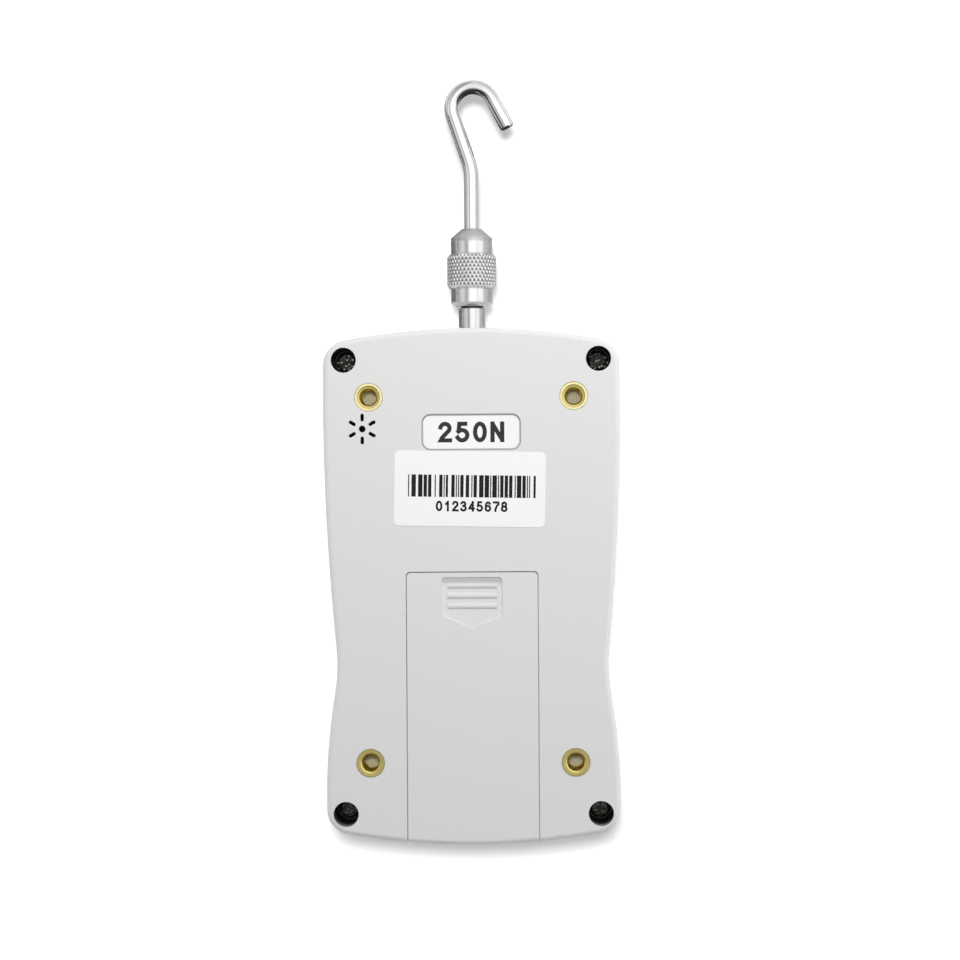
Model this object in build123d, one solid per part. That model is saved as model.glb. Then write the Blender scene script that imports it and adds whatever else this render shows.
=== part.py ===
from build123d import *
from math import atan2, cos, hypot, pi, radians, sin, sqrt, tan
import os

# A handheld digital force gauge, lying face down: X to the right, Y toward the hook, Z up out of its
# back. The pieces are built about the middle of the case, and are moved along Y when they are written,
# so that the whole gauge is centred. All sizes are millimetres.

# case
case_length = 140.0
case_depth = 36.0
wall = 2.5
shoulder_half_width = 40.2      # widest place, toward the hook
shoulder_from_top = 20.0
shoulder_arc = 680.0
hip_half_width = 39.8           # second widest place, near the bottom end
hip_from_bottom = 13.0
hip_arc = 170.0
waist_blend = 50.0
top_end_arc = 191.0
bottom_end_arc = 200.0
corner_radius = 7.0
back_edge_radius = 1.5
front_edge_radius = 2.0
shaft_height = 18.5             # the shaft's axis, and the plane where the two case halves meet
lip_depth = 1.5
lip_clearance = 0.12
seam_height = 0.45               # shadow line between the two halves
seam_depth = 0.4
glue_gap = 0.05

# front panel
panel_rim = 4.2                 # flat rim of the front that the gauge rests on when face down
panel_recess = 1.2
panel_wall = 2.2
overlay_thickness = 0.4
overlay_margin = 0.25
window_width = 60.0
window_length = 40.0
window_thickness = 1.6
window_corner = 2.0
window_ledge = 2.4
window_from_top = 42.0
display_width = 57.0
display_length = 38.0
display_thickness = 2.8
display_frame_wall = 2.5
display_gap = 0.15

# corner screws and their wells
screw_inset_x = 5.7
screw_inset_y = 8.55
well_radius = 3.4
well_wall = 1.5
well_floor = 2.0
screw_length = 12.0
screw_radius = 1.5
screw_head_radius = 2.9
screw_head_height = 2.2
screw_clearance = 0.2
pilot_depth = 13.0

# threaded inserts for M5
insert_spacing_x = 55.5
insert_spacing_y = 99.0
insert_offset_y = 1.9
insert_hole_radius = 2.1
insert_mouth_radius = 2.5
insert_flange_radius = 3.8
insert_flange_height = 0.8
insert_body_radius = 3.4
insert_groove_depth = 0.4
insert_length = 10.0
insert_boss_wall = 1.4

# sound holes
grille_from_side = 10.7
grille_from_top = 27.2
grille_ring_radius = 3.1
grille_hole_radius = 0.92
grille_slot_width = 0.95
grille_slot_length = 2.1
grille_slots = 6

# labels
rating_from_top = 28.2
rating_width = 26.9
rating_length = 9.9
rating_corner = 2.5
rating_recess = 0.6
label_thickness = 0.12
label_margin = 0.45
serial_x = -0.5
serial_from_top = 43.6
serial_width = 40.8
serial_length = 20.3
serial_corner = 1.4
serial_turn = -1.1

# battery door and bay
door_length = 74.1
door_half_width = 17.95
door_gap = 0.28
door_corner = 1.2
door_end_height = 12.0
door_plate = 2.8
tongue_height = 1.0
tongue_reach = 1.2
rail_thickness = 1.6
rail_wall = 1.6
rail_clearance = 0.12
grip_width = 16.4
grip_from_door_top = 1.55
grip_straight = 10.4
grip_point = 3.56
grip_depth = 1.3
grip_depth_at_point = 0.55
grip_corner = 0.9
grip_bars = 3
grip_bar_pitch = 2.75
grip_bar_length = 13.3
grip_bar_radius = 0.95
grip_bar_rise = 0.45
battery_radius = 7.25
battery_length = 50.5
battery_nub_radius = 2.75
battery_nub_height = 1.3
battery_gap = 1.0
battery_side_room = 0.5
battery_top_room = 0.5
spring_room = 6.7
spring_radius = 3.6
spring_wire_radius = 0.35
spring_turns = 4
contact_thickness = 0.4
contact_width = 11.0
contact_height = 11.5
contact_tab = 1.5
bay_from_bottom = 7.5
bay_wall = 1.6

# circuit board
board_thickness = 1.6
board_back = 10.6
board_edge_gap = 1.2
board_screw_radius = 1.25
board_screw_length = 6.5
board_head_radius = 2.3
board_head_height = 1.5
board_post_radius = 2.9
post_end_from_side = 13.2
post_end_inset = 14.0
post_middle_from_side = 9.2
post_middle_from_top = 74.0
chip_gap = 0.02
# x, distance below the bay's top end, width, length and height of each part soldered on the board
chips = {
    "processor": (0.0, 23.0, 12.0, 12.0, 1.6),
    "converter": (-20.0, 19.0, 7.0, 9.0, 1.8),
    "supply": (20.0, 35.0, 8.0, 6.0, 1.8),
    "memory": (14.0, 49.0, 5.0, 5.0, 1.4),
    "driver": (-14.0, 47.0, 6.0, 4.0, 1.4),
    "crystal": (-24.0, 33.0, 3.5, 10.0, 3.2),
}

# keys
key_spacing = 20.0
key_row_spacing = 18.0
key_from_bottom = 30.0
key_width = 14.0
key_length = 8.0
key_clearance = 0.15
key_face = 0.5                  # height of a key's face above the plane that the rim rests on
key_travel = 0.5
key_edge = 0.35
key_flange_gap = 0.2
key_flange = 1.0
key_flange_height = 0.8
key_stem_radius = 2.2
switch_width = 6.0
switch_height = 3.5
plunger_radius = 1.6
plunger_clearance = 0.1
plunger_rise = 0.6
plunger_depth = 1.0

# measuring shaft, load cell and its bracket
thread_radius = 3.0             # M6
thread_fit = 0.05
shaft_radius = 3.65
shaft_hole_gap = 0.5
cell_from_top = 8.5
cell_length = 40.0
cell_width = 25.0
cell_thickness = 12.0
cell_bar = 10.0
cell_slot = 3.0
cell_web = 4.5
cell_eye_radius = 3.5
cell_eye_spacing = 9.0
cell_eye_slot = 3.0
thread_depth = 8.0
thread_end_room = 1.0
jam_nut_height = 4.0
jam_nut_flats = 10.0
shaft_shoulder_gap = 0.5
bracket_plate = 4.0
bracket_flange = 2.5
bracket_half_width = 22.5
bracket_reach = 27.5
bracket_clearance = 1.0
bracket_drop = 6.2
gusset_thickness = 2.0
gusset_length = 13.0
bolt_head_radius = 5.6
bolt_head_sunk = 0.2
bolt_sink_room = 0.15
bolt_socket_flats = 4.0
bolt_socket_depth = 2.2
bracket_screw_x = 19.0
bracket_screw_first = 8.5
bracket_screw_spacing = 15.0
bracket_screw_radius = 1.5
bracket_screw_length = 6.0
bracket_post_radius = 3.3

# coupling nut and hook
nut_standoff = 6.8
nut_length = 21.5
nut_plain_radius = 5.7
nut_plain_length = 5.0
nut_chamfer = 1.1
knurl_radius = 6.8
knurl_length = 9.4
knurl_chamfer = 0.8
nut_upper_length = 4.6
nut_tip_radius = 2.8
nut_shoulder_gap = 0.3
thread_reach = 9.5              # how far the shaft's outer thread reaches into the nut
wire_radius = 2.0
wire_fit = 0.08
collar_radius = 2.6
collar_height = 2.5
hook_bend_from_nut = 16.6
hook_bend_radius = 15.0
hook_lean = 18.5
hook_lean_length = 15.83
hook_bow_radius = 5.9
hook_arm_angle = 28.5
hook_arm_length = 9.4
hook_tip_chamfer = 0.4

# sounder, sockets, chips and leads
buzzer_radius = 4.6
buzzer_height = 6.5
buzzer_hole_radius = 0.9
jack_from_top = 44.0
jack_width = 9.0
jack_height = 6.6
jack_length = 11.0
jack_nose_radius = 2.9
jack_bore_radius = 2.5
jack_pin_radius = 1.0
jack_bore_depth = 8.0
port_from_top = 31.0
port_width = 7.7
port_height = 3.9
port_length = 9.2
port_shell = 0.4
port_tongue = 1.2
socket_gap = 0.35
socket_inset = 0.5
plug_width = 8.0
plug_length = 4.5
plug_height = 1.5
sensor_plug_from_cell = 14.0
sensor_plug_drop = 8.0
sensor_lead_radius = 1.0
sensor_lead_run = 5.0
sensor_lead_rise = 4.5
battery_plug_x = 0.0
battery_plug_from_bay = 5.0
battery_lead_radius = 0.7
battery_lead_run = 2.2
battery_lead_rise = 3.0
battery_lead_spacing = 4.0
tab_width = 3.0
tab_height = 2.0                # height of a contact's tab above the bay's floor
tab_clearance = 0.2

# places worked out from the sizes above
top_y = case_length / 2
bottom_y = -case_length / 2
panel_inside = panel_recess + panel_wall
overlay_front = panel_recess - overlay_thickness
window_y = top_y - window_from_top
screw_x = shoulder_half_width - screw_inset_x
screw_y = top_y - screw_inset_y
screw_seat = shaft_height + well_floor
grille_x = -(shoulder_half_width - grille_from_side)
grille_y = top_y - grille_from_top
post_end_x = shoulder_half_width - post_end_from_side
post_middle_x = shoulder_half_width - post_middle_from_side
rating_y = top_y - rating_from_top
serial_y = top_y - serial_from_top
back_inside = case_depth - wall
board_front = board_back - board_thickness
door_top = bottom_y + door_length
plate_bottom = case_depth - door_plate
rail_top = plate_bottom - rail_clearance
tongue_top = plate_bottom + tongue_height
battery_x = battery_radius + battery_gap / 2
bay_half_width = battery_x + battery_radius + battery_side_room
battery_height = plate_bottom - battery_top_room - battery_radius
bay_floor = battery_height - battery_radius - battery_top_room
bay_length = battery_length + spring_room + 2 * contact_thickness
bay_bottom = bottom_y + bay_from_bottom
bay_top = bay_bottom + bay_length
cell_top = top_y - cell_from_top
cell_bottom = cell_top - cell_length
cell_middle = (cell_top + cell_bottom) / 2
bracket_back = cell_bottom - bracket_plate
flange_front = shaft_height + cell_thickness / 2 + bracket_clearance
flange_back = flange_front + bracket_flange
nut_base = top_y + nut_standoff
nut_top = nut_base + nut_length
thread_end = nut_base + thread_reach
tab_base = bay_floor + tab_height
tab_end = bay_top + bay_wall + contact_tab
plug_top = board_back + chip_gap + plug_height
sensor_plug = (-cell_width / 2 - sensor_plug_from_cell, cell_middle - sensor_plug_drop)
battery_plug = (battery_plug_x, bay_top + bay_wall + battery_plug_from_bay)
key_row = bottom_y + key_from_bottom
switch_front = board_front - switch_height
plunger_front = switch_front - plunger_rise
key_names = [["light", "store", "unit"], ["peak", "zero", "power"]]


def block(x0, x1, y0, y1, z0, z1):
    return Pos((x0 + x1) / 2, (y0 + y1) / 2, (z0 + z1) / 2) * Box(x1 - x0, y1 - y0, z1 - z0)


def disc(x, y, z0, z1, radius):
    return Pos(x, y, (z0 + z1) / 2) * Cylinder(radius, z1 - z0)


def bar_x(y, z, x0, x1, radius):
    return Pos((x0 + x1) / 2, y, z) * Rot(0, 90, 0) * Cylinder(radius, x1 - x0)


def bar_y(x, z, y0, y1, radius):
    return Pos(x, (y0 + y1) / 2, z) * Rot(90, 0, 0) * Cylinder(radius, y1 - y0)


def plate(sketch, z0, z1):
    return Pos(0, 0, z0) * extrude(sketch, amount=z1 - z0)


def rounded(x, y, width, length, corner, turn=0.0):
    return Pos(x, y) * Rot(0, 0, turn) * RectangleRounded(width, length, corner)


def turned_on_shaft(profile):
    # revolve (radius, y) points about the shaft's axis
    face = make_face(Polyline(*profile, close=True))
    return Pos(0, 0, shaft_height) * revolve(face, Axis.Y)


def turned_upright(x, y, profile):
    # revolve (radius, z) points about an upright axis
    face = make_face(Plane.XZ * Polyline(*profile, close=True))
    return Pos(x, y, 0) * revolve(face, Axis.Z)


def side_prism(profile, x0, x1):
    # extrude (y, z) points along X
    face = make_face(Plane.YZ * Polyline(*profile, close=True))
    return Pos(x0, 0, 0) * extrude(face, amount=x1 - x0, dir=(1, 0, 0))


def hexagon(flats):
    return RegularPolygon(flats / 2, 6, major_radius=False)


def four_corners(x, y, centre_y=0.0):
    return [(sx * x, centre_y + sy * y) for sx in (-1, 1) for sy in (-1, 1)]


def crossing(centre_a, radius_a, centre_b, radius_b, near):
    # the point where two circles cross, the one nearer to a given point
    dx, dy = centre_b[0] - centre_a[0], centre_b[1] - centre_a[1]
    apart = hypot(dx, dy)
    along = (radius_a**2 - radius_b**2 + apart**2) / (2 * apart)
    across = sqrt(radius_a**2 - along**2)
    foot = (centre_a[0] + along * dx / apart, centre_a[1] + along * dy / apart)
    ends = [(foot[0] - s * across * dy / apart, foot[1] + s * across * dx / apart) for s in (-1, 1)]
    return min(ends, key=lambda p: hypot(p[0] - near[0], p[1] - near[1]))


def arc_between(centre, radius, start, end):
    a, b = (atan2(p[1] - centre[1], p[0] - centre[0]) for p in (start, end))
    turn = (b - a + pi) % (2 * pi) - pi
    middle = a + turn / 2
    through = (centre[0] + radius * cos(middle), centre[1] + radius * sin(middle))
    return ThreePointArc(start, through, end)


def mirrored(point):
    return (-point[0], point[1])


def case_outline(inset):
    # long shoulder arcs and shorter hip arcs that meet at the waist, between two crowned ends;
    # an inset keeps every arc's centre, so the walls are even
    top = (0.0, top_y - top_end_arc)
    bottom = (0.0, bottom_y + bottom_end_arc)
    shoulder = (shoulder_half_width - shoulder_arc, top_y - shoulder_from_top)
    hip = (hip_half_width - hip_arc, bottom_y + hip_from_bottom)
    top_arc, bottom_arc = top_end_arc - inset, bottom_end_arc - inset
    long_arc, short_arc = shoulder_arc - inset, hip_arc - inset
    high = crossing(top, top_arc, shoulder, long_arc, (shoulder_half_width, top_y))
    waist = crossing(shoulder, long_arc, hip, short_arc, (hip_half_width, (shoulder[1] + hip[1]) / 2))
    low = crossing(hip, short_arc, bottom, bottom_arc, (hip_half_width, bottom_y))
    edges = [
        arc_between(top, top_arc, mirrored(high), high),
        arc_between(shoulder, long_arc, high, waist),
        arc_between(hip, short_arc, waist, low),
        arc_between(bottom, bottom_arc, low, mirrored(low)),
        arc_between(mirrored(hip), short_arc, mirrored(low), mirrored(waist)),
        arc_between(mirrored(shoulder), long_arc, mirrored(waist), mirrored(high)),
    ]
    face = make_face(edges)
    corners = [v for v in face.vertices() if abs(v.Y - waist[1]) > waist_blend / 4]
    face = fillet(corners, max(corner_radius - inset, corner_radius / 10))
    waists = [v for v in face.vertices() if hypot(abs(v.X) - waist[0], v.Y - waist[1]) < 0.01]
    return fillet(waists, waist_blend + inset)


outline = case_outline(0)


def side_x(y):
    # the case's outer half width at a place on its upper side
    return shoulder_half_width - shoulder_arc + sqrt(shoulder_arc**2 - (y - top_y + shoulder_from_top) ** 2)


def case_block():
    body = plate(outline, 0, case_depth)
    body = fillet(body.faces().sort_by(Axis.Z)[-1].edges(), back_edge_radius)
    return fillet(body.faces().sort_by(Axis.Z)[0].edges(), front_edge_radius)


whole_case = case_block()
front_half = block(-case_length, case_length, -case_length, case_length, -1, shaft_height)
back_half = block(-case_length, case_length, -case_length, case_length, shaft_height, case_depth + 1)


def shaft_opening():
    return bar_y(0, shaft_height, top_y - 3 * wall, top_y + 1, shaft_radius + shaft_hole_gap)


# ---- rear case


def insert_places():
    return four_corners(insert_spacing_x / 2, insert_spacing_y / 2, insert_offset_y)


def lip_ring(clearance):
    # the tongue of the rear case that goes into the front case
    outer = case_outline(wall / 2 + lip_clearance - clearance)
    inner = case_outline(wall + clearance)
    return plate(outer - inner, shaft_height - lip_depth - clearance, shaft_height)


def grille_cut():
    through = (back_inside - 1, case_depth + 1)
    cut = disc(grille_x, grille_y, *through, grille_hole_radius)
    slot = SlotOverall(grille_slot_length, grille_slot_width)
    for step in range(grille_slots):
        ray = Pos(grille_x, grille_y) * Rot(0, 0, 90 + step * 360 / grille_slots)
        cut += plate(ray * Pos(grille_ring_radius, 0) * slot, *through)
    return cut


def door_opening():
    plate_zone = rounded(0, door_top - case_length, 2 * door_half_width, 2 * case_length, door_corner)
    cut = plate(plate_zone, rail_top, case_depth + 1)
    reach = door_half_width + tongue_reach + rail_clearance
    groove_top = tongue_top + rail_clearance
    cut += block(-reach, reach, bottom_y - 1, door_top + tongue_reach + rail_clearance, rail_top, groove_top)
    end_zone = block(
        -door_half_width, door_half_width, bottom_y - 1, bay_bottom - bay_wall - wall / 2,
        case_depth - door_end_height, case_depth + 1)
    return cut + end_zone


def battery_tub():
    rail = door_half_width + tongue_reach + rail_clearance + rail_wall
    shelf_end = door_top + tongue_reach + rail_clearance + rail_wall
    tub = block(
        -bay_half_width - bay_wall, bay_half_width + bay_wall, bay_bottom - bay_wall, bay_top + bay_wall,
        bay_floor - bay_wall, rail_top)
    tub += block(-rail, rail, bottom_y + wall, shelf_end, rail_top - rail_thickness, back_inside + 0.5)
    tub -= block(-bay_half_width, bay_half_width, bay_bottom, bay_top, bay_floor, case_depth)
    return tub


def contact_tab_block(x, y0, y1, growth):
    half = tab_width / 2 + growth
    return block(x - half, x + half, y0, y1, tab_base - growth, tab_base + contact_thickness + growth)


def tab_slots():
    ends = (bay_top - wall, bay_top + bay_wall + wall)
    return [contact_tab_block(side * battery_x, *ends, tab_clearance) for side in (-1, 1)]


def bracket_screw_places():
    first = bracket_back + bracket_screw_first
    return [(s * bracket_screw_x, first + i * bracket_screw_spacing) for s in (-1, 1) for i in range(2)]


def make_rear_case():
    shell = (whole_case & back_half) - plate(case_outline(wall), shaft_height - 1, back_inside)
    shell -= plate(case_outline(-1) - case_outline(seam_depth), shaft_height, shaft_height + seam_height)
    shell += lip_ring(0)
    posts = [disc(x, y, shaft_height, back_inside + 0.5, well_radius + well_wall)
             for x, y in four_corners(screw_x, screw_y)]
    insert_end = case_depth - insert_length - insert_boss_wall
    posts += [disc(x, y, insert_end, back_inside + 0.5, insert_body_radius + insert_boss_wall)
              for x, y in insert_places()]
    posts += [disc(x, y, flange_back, back_inside + 0.5, bracket_post_radius)
              for x, y in bracket_screw_places()]
    shell += [post & whole_case for post in posts]
    shell += battery_tub() & whole_case
    for x, y in four_corners(screw_x, screw_y):
        shell -= disc(x, y, screw_seat, case_depth + 1, well_radius)
        shell -= disc(x, y, shaft_height - 1, screw_seat + 1, screw_radius + screw_clearance)
    for x, y in insert_places():
        shell -= disc(x, y, case_depth - insert_length, case_depth + 1, insert_body_radius + glue_gap)
        shell -= disc(x, y, case_depth - insert_flange_height - glue_gap, case_depth + 1,
                      insert_flange_radius + glue_gap)
    for x, y in bracket_screw_places():
        shell -= disc(x, y, flange_back - 1, flange_back + bracket_screw_length - bracket_flange + 1,
                      bracket_screw_radius)
    shell -= grille_cut()
    shell -= plate(rounded(0, rating_y, rating_width, rating_length, rating_corner),
                   case_depth - rating_recess, case_depth + 1)
    shell -= door_opening()
    shell -= tab_slots()
    return shell - shaft_opening()


# ---- battery door


def grip_pocket():
    top = door_top - grip_from_door_top
    shoulder = top - grip_straight
    point = shoulder - grip_point
    half = grip_width / 2
    shape = make_face(Polyline((-half, top), (half, top), (half, shoulder), (0, point), (-half, shoulder),
                               close=True))
    shape = fillet(shape.vertices().sort_by(Axis.Y)[-2:], grip_corner)
    above = side_prism([(top, case_depth - grip_depth), (point, case_depth - grip_depth_at_point),
                        (point, case_depth + 1), (top, case_depth + 1)], -half, half)
    pocket = plate(shape, case_depth - 2 * grip_depth, case_depth + 1) & above
    slope = (grip_depth - grip_depth_at_point) / (top - point)
    for i in range(grip_bars):
        y = top - (i + 0.85) * grip_bar_pitch
        floor = case_depth - grip_depth + slope * (top - y)
        bar = bar_x(y, floor + grip_bar_rise - grip_bar_radius, -grip_bar_length / 2, grip_bar_length / 2,
                    grip_bar_radius)
        pocket -= bar
    return pocket


def make_battery_door():
    half = door_half_width - door_gap
    top = door_top - door_gap
    zone = plate(rounded(0, top - case_length, 2 * half, 2 * case_length, door_corner),
                 plate_bottom, case_depth + 1)
    door = whole_case & zone
    end_wall = whole_case & block(
        -half, half, bottom_y - 1, bottom_y + wall, case_depth - door_end_height + door_gap, case_depth)
    reach = door_half_width + tongue_reach
    tongues = whole_case & block(-reach, reach, bottom_y - 1, top + tongue_reach, plate_bottom, tongue_top)
    door = door + end_wall + tongues
    return door - grip_pocket()


# ---- front case


def key_places():
    places = {}
    for row, names in enumerate(key_names):
        for column, name in enumerate(names):
            places["key_" + name] = ((column - 1) * key_spacing, key_row + row * key_row_spacing)
    return places


def board_post_places():
    ends = four_corners(post_end_x, top_y - post_end_inset)
    middle = [(side * post_middle_x, top_y - post_middle_from_top) for side in (-1, 1)]
    return ends + middle


def key_shape(x, y, growth):
    return Pos(x, y) * SlotOverall(key_width + 2 * growth, key_length + 2 * growth)


def jack_height_centre():
    return board_back + jack_height / 2


def socket_openings():
    jack_y, port_y = top_y - jack_from_top, top_y - port_from_top
    cut = bar_x(jack_y, jack_height_centre(), side_x(jack_y) - 2 * wall, side_x(jack_y) + 1,
                jack_nose_radius + socket_gap)
    half = port_width / 2 + socket_gap
    cut += block(side_x(port_y) - 2 * wall, side_x(port_y) + 1, port_y - half, port_y + half,
                 board_back - socket_gap, board_back + port_height + socket_gap)
    return cut


def make_front_case():
    shell = (whole_case & front_half) - plate(case_outline(wall), panel_inside, shaft_height + 1)
    posts = [disc(x, y, panel_inside - 0.5, shaft_height, well_radius + 0.6)
             for x, y in four_corners(screw_x, screw_y)]
    posts += [disc(x, y, panel_inside - 0.5, board_front, board_post_radius) for x, y in board_post_places()]
    shell += [post & whole_case for post in posts]
    groove_depth = lip_depth + lip_clearance
    rebate = plate(case_outline(wall / 2) - case_outline(wall + lip_clearance), shaft_height - groove_depth,
                   shaft_height + 1)
    shell -= rebate
    for x, y in four_corners(screw_x, screw_y):
        shell -= disc(x, y, shaft_height - pilot_depth, shaft_height + 1, screw_radius)
    for x, y in board_post_places():
        shell -= disc(x, y, board_back - board_screw_length, board_front + 1, board_screw_radius)
    shell -= plate(case_outline(panel_rim), -1, panel_recess)
    shell -= plate(rounded(0, window_y, window_width + 2 * glue_gap, window_length + 2 * glue_gap,
                           window_corner), -1, overlay_front + window_thickness)
    shell -= plate(rounded(0, window_y, window_width - 2 * window_ledge, window_length - 2 * window_ledge,
                           window_corner), -1, panel_inside + 1)
    for x, y in key_places().values():
        shell -= plate(key_shape(x, y, key_clearance), -1, panel_inside + 1)
    shell -= socket_openings()
    return shell - shaft_opening()


def make_front_overlay():
    film = plate(case_outline(panel_rim + overlay_margin), overlay_front, panel_recess)
    film -= plate(rounded(0, window_y, window_width + 2 * glue_gap, window_length + 2 * glue_gap,
                          window_corner), -1, panel_recess + 1)
    for x, y in key_places().values():
        film -= plate(key_shape(x, y, 2 * key_clearance), -1, panel_recess + 1)
    return film


def make_display_window():
    return plate(rounded(0, window_y, window_width, window_length, window_corner),
                 overlay_front, overlay_front + window_thickness)


def make_lcd_glass():
    back = panel_inside + display_gap + display_thickness
    lower = plate(Pos(0, window_y) * Rectangle(display_width, display_length),
                  panel_inside + display_gap + display_thickness / 2, back)
    upper = plate(Pos(0, window_y) * Rectangle(display_width, display_length - 3),
                  panel_inside + display_gap, panel_inside + display_gap + display_thickness / 2)
    return lower + upper


def make_lcd_frame():
    half_x = display_width / 2 + display_gap
    half_y = display_length / 2 + display_gap
    rim = display_frame_wall
    tray = block(-half_x - rim, half_x + rim, window_y - half_y - rim, window_y + half_y + rim,
                 panel_inside + display_gap, board_front)
    tray -= block(-half_x, half_x, window_y - half_y, window_y + half_y, panel_inside,
                  panel_inside + display_gap + display_thickness)
    tray -= block(-half_x + rim, half_x - rim, window_y - half_y + rim, window_y + half_y - rim,
                  panel_inside + display_gap + display_thickness + 1, board_front + 1)
    return tray


# ---- circuit board


def make_main_board():
    board = plate(case_outline(wall + board_edge_gap), board_front, board_back)
    for x, y in four_corners(screw_x, screw_y):
        board -= disc(x, y, 0, case_depth, well_radius + 0.6 + board_edge_gap)
    for x, y in board_post_places():
        board -= disc(x, y, 0, case_depth, board_screw_radius + screw_clearance)
    return board


def make_screw(x, y, seat, direction, radius, length, head_radius, head_height):
    # a pan head on a shank; direction is +1 where the shank points up, -1 where it points down
    drive = head_height * 0.55
    screw = turned_upright(x, y, [
        (0, seat + direction * length),
        (radius * 0.5, seat + direction * length),
        (radius, seat + direction * (length - radius)),
        (radius, seat),
        (head_radius, seat),
        (head_radius, seat - direction * head_height * 0.5),
        (head_radius * 0.72, seat - direction * head_height),
        (0, seat - direction * head_height),
    ])
    low, high = sorted((seat - direction * (head_height - drive), seat - direction * (head_height + 1)))
    arm = head_radius * 0.62
    slit = radius * 0.24
    screw -= block(x - arm, x + arm, y - slit, y + slit, low, high)
    return screw - block(x - slit, x + slit, y - arm, y + arm, low, high)


def make_case_screws():
    return [make_screw(x, y, screw_seat, -1, screw_radius, screw_length, screw_head_radius, screw_head_height)
            for x, y in four_corners(screw_x, screw_y)]


def make_board_screws():
    return [make_screw(x, y, board_back, -1, board_screw_radius, board_screw_length - 0.3, board_head_radius,
                       board_head_height) for x, y in board_post_places()]


def make_circuit_chips():
    # what is soldered on the board's back, with the two plug sockets for the leads
    z = board_back + chip_gap

    def chip(x, y, width, length, height):
        return block(x - width / 2, x + width / 2, y - length / 2, y + length / 2, z, z + height)

    soldered = [chip(x, bay_top - drop, *size) for x, drop, *size in chips.values()]
    plugs = [chip(x, y, plug_width, plug_length, plug_height) for x, y in (sensor_plug, battery_plug)]
    return soldered + plugs


def make_buzzer():
    z = board_back + chip_gap
    return turned_upright(grille_x, grille_y, [
        (0, z), (buzzer_radius, z), (buzzer_radius, z + buzzer_height - 0.6),
        (buzzer_radius - 0.6, z + buzzer_height), (buzzer_hole_radius, z + buzzer_height),
        (buzzer_hole_radius, z + buzzer_height - 2), (0, z + buzzer_height - 2),
    ])


def make_dc_jack():
    y = top_y - jack_from_top
    z = jack_height_centre() + chip_gap
    end = side_x(y) - socket_inset
    inner = side_x(y) - wall - socket_gap
    jack = block(inner - jack_length, inner, y - jack_width / 2, y + jack_width / 2,
                 board_back + chip_gap, board_back + jack_height)
    jack += bar_x(y, z, inner - 1, end, jack_nose_radius)
    jack -= bar_x(y, z, end - jack_bore_depth, end + 1, jack_bore_radius)
    return jack + bar_x(y, z, end - jack_bore_depth - 1, end - 1, jack_pin_radius)


def make_data_port():
    y = top_y - port_from_top
    end = side_x(y) - socket_inset
    z0 = board_back + chip_gap
    half = port_width / 2
    port = block(end - port_length, end, y - half, y + half, z0, z0 + port_height)
    port = chamfer(port.edges().filter_by(Axis.X).group_by(Axis.Z)[0], 0.9)
    cavity = block(end - port_length + 2, end + 1, y - half + port_shell, y + half - port_shell,
                   z0 + port_shell, z0 + port_height - port_shell)
    cavity = chamfer(cavity.edges().filter_by(Axis.X).group_by(Axis.Z)[0], 0.75)
    middle = z0 + port_height / 2
    tongue = block(end - port_length + 1, end - 0.8, y - half * 0.55, y + half * 0.55,
                   middle - port_tongue / 2, middle + port_tongue / 2)
    return port - cavity + tongue


def make_key(x, y):
    flange_start = panel_inside + key_flange_gap
    cap = plate(key_shape(x, y, -key_clearance), key_face, flange_start)
    cap = chamfer(cap.faces().sort_by(Axis.Z)[0].edges(), key_edge)
    cap += plate(key_shape(x, y, key_flange), flange_start, flange_start + key_flange_height)
    cap += disc(x, y, flange_start, plunger_front, key_stem_radius)
    plunger = disc(x, y, plunger_front, switch_front + plunger_depth, plunger_radius)
    return [cap, plunger]


def make_key_switches():
    cavity_end = switch_front + plunger_depth + key_travel + 0.3
    switches = []
    for x, y in key_places().values():
        half = switch_width / 2
        body = block(x - half, x + half, y - half, y + half, switch_front, board_front - chip_gap)
        switches.append(body - disc(x, y, switch_front - 1, cavity_end, plunger_radius + plunger_clearance))
    return switches


# ---- inserts and labels


def make_mount_inserts():
    top = case_depth
    end = top - insert_length
    third = (insert_length - insert_flange_height) / 3
    groove = insert_body_radius - insert_groove_depth
    mouth = insert_mouth_radius - insert_hole_radius
    profile = [
        (insert_hole_radius, end),
        (insert_body_radius - 0.3, end),
        (insert_body_radius, end + 0.3),
        (insert_body_radius, end + third),
        (groove, end + third),
        (groove, end + 2 * third),
        (insert_body_radius, end + 2 * third),
        (insert_body_radius, top - insert_flange_height),
        (insert_flange_radius, top - insert_flange_height),
        (insert_flange_radius, top),
        (insert_mouth_radius, top),
        (insert_hole_radius, top - mouth),
    ]
    return [turned_upright(x, y, profile) for x, y in insert_places()]


def make_rating_label():
    floor = case_depth - rating_recess
    shape = rounded(0, rating_y, rating_width - 2 * label_margin, rating_length - 2 * label_margin,
                    rating_corner - label_margin)
    return plate(shape, floor, floor + label_thickness)


def make_serial_label():
    shape = rounded(serial_x, serial_y, serial_width, serial_length, serial_corner, serial_turn)
    return plate(shape, case_depth, case_depth + label_thickness)


# ---- load cell and bracket


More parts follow.
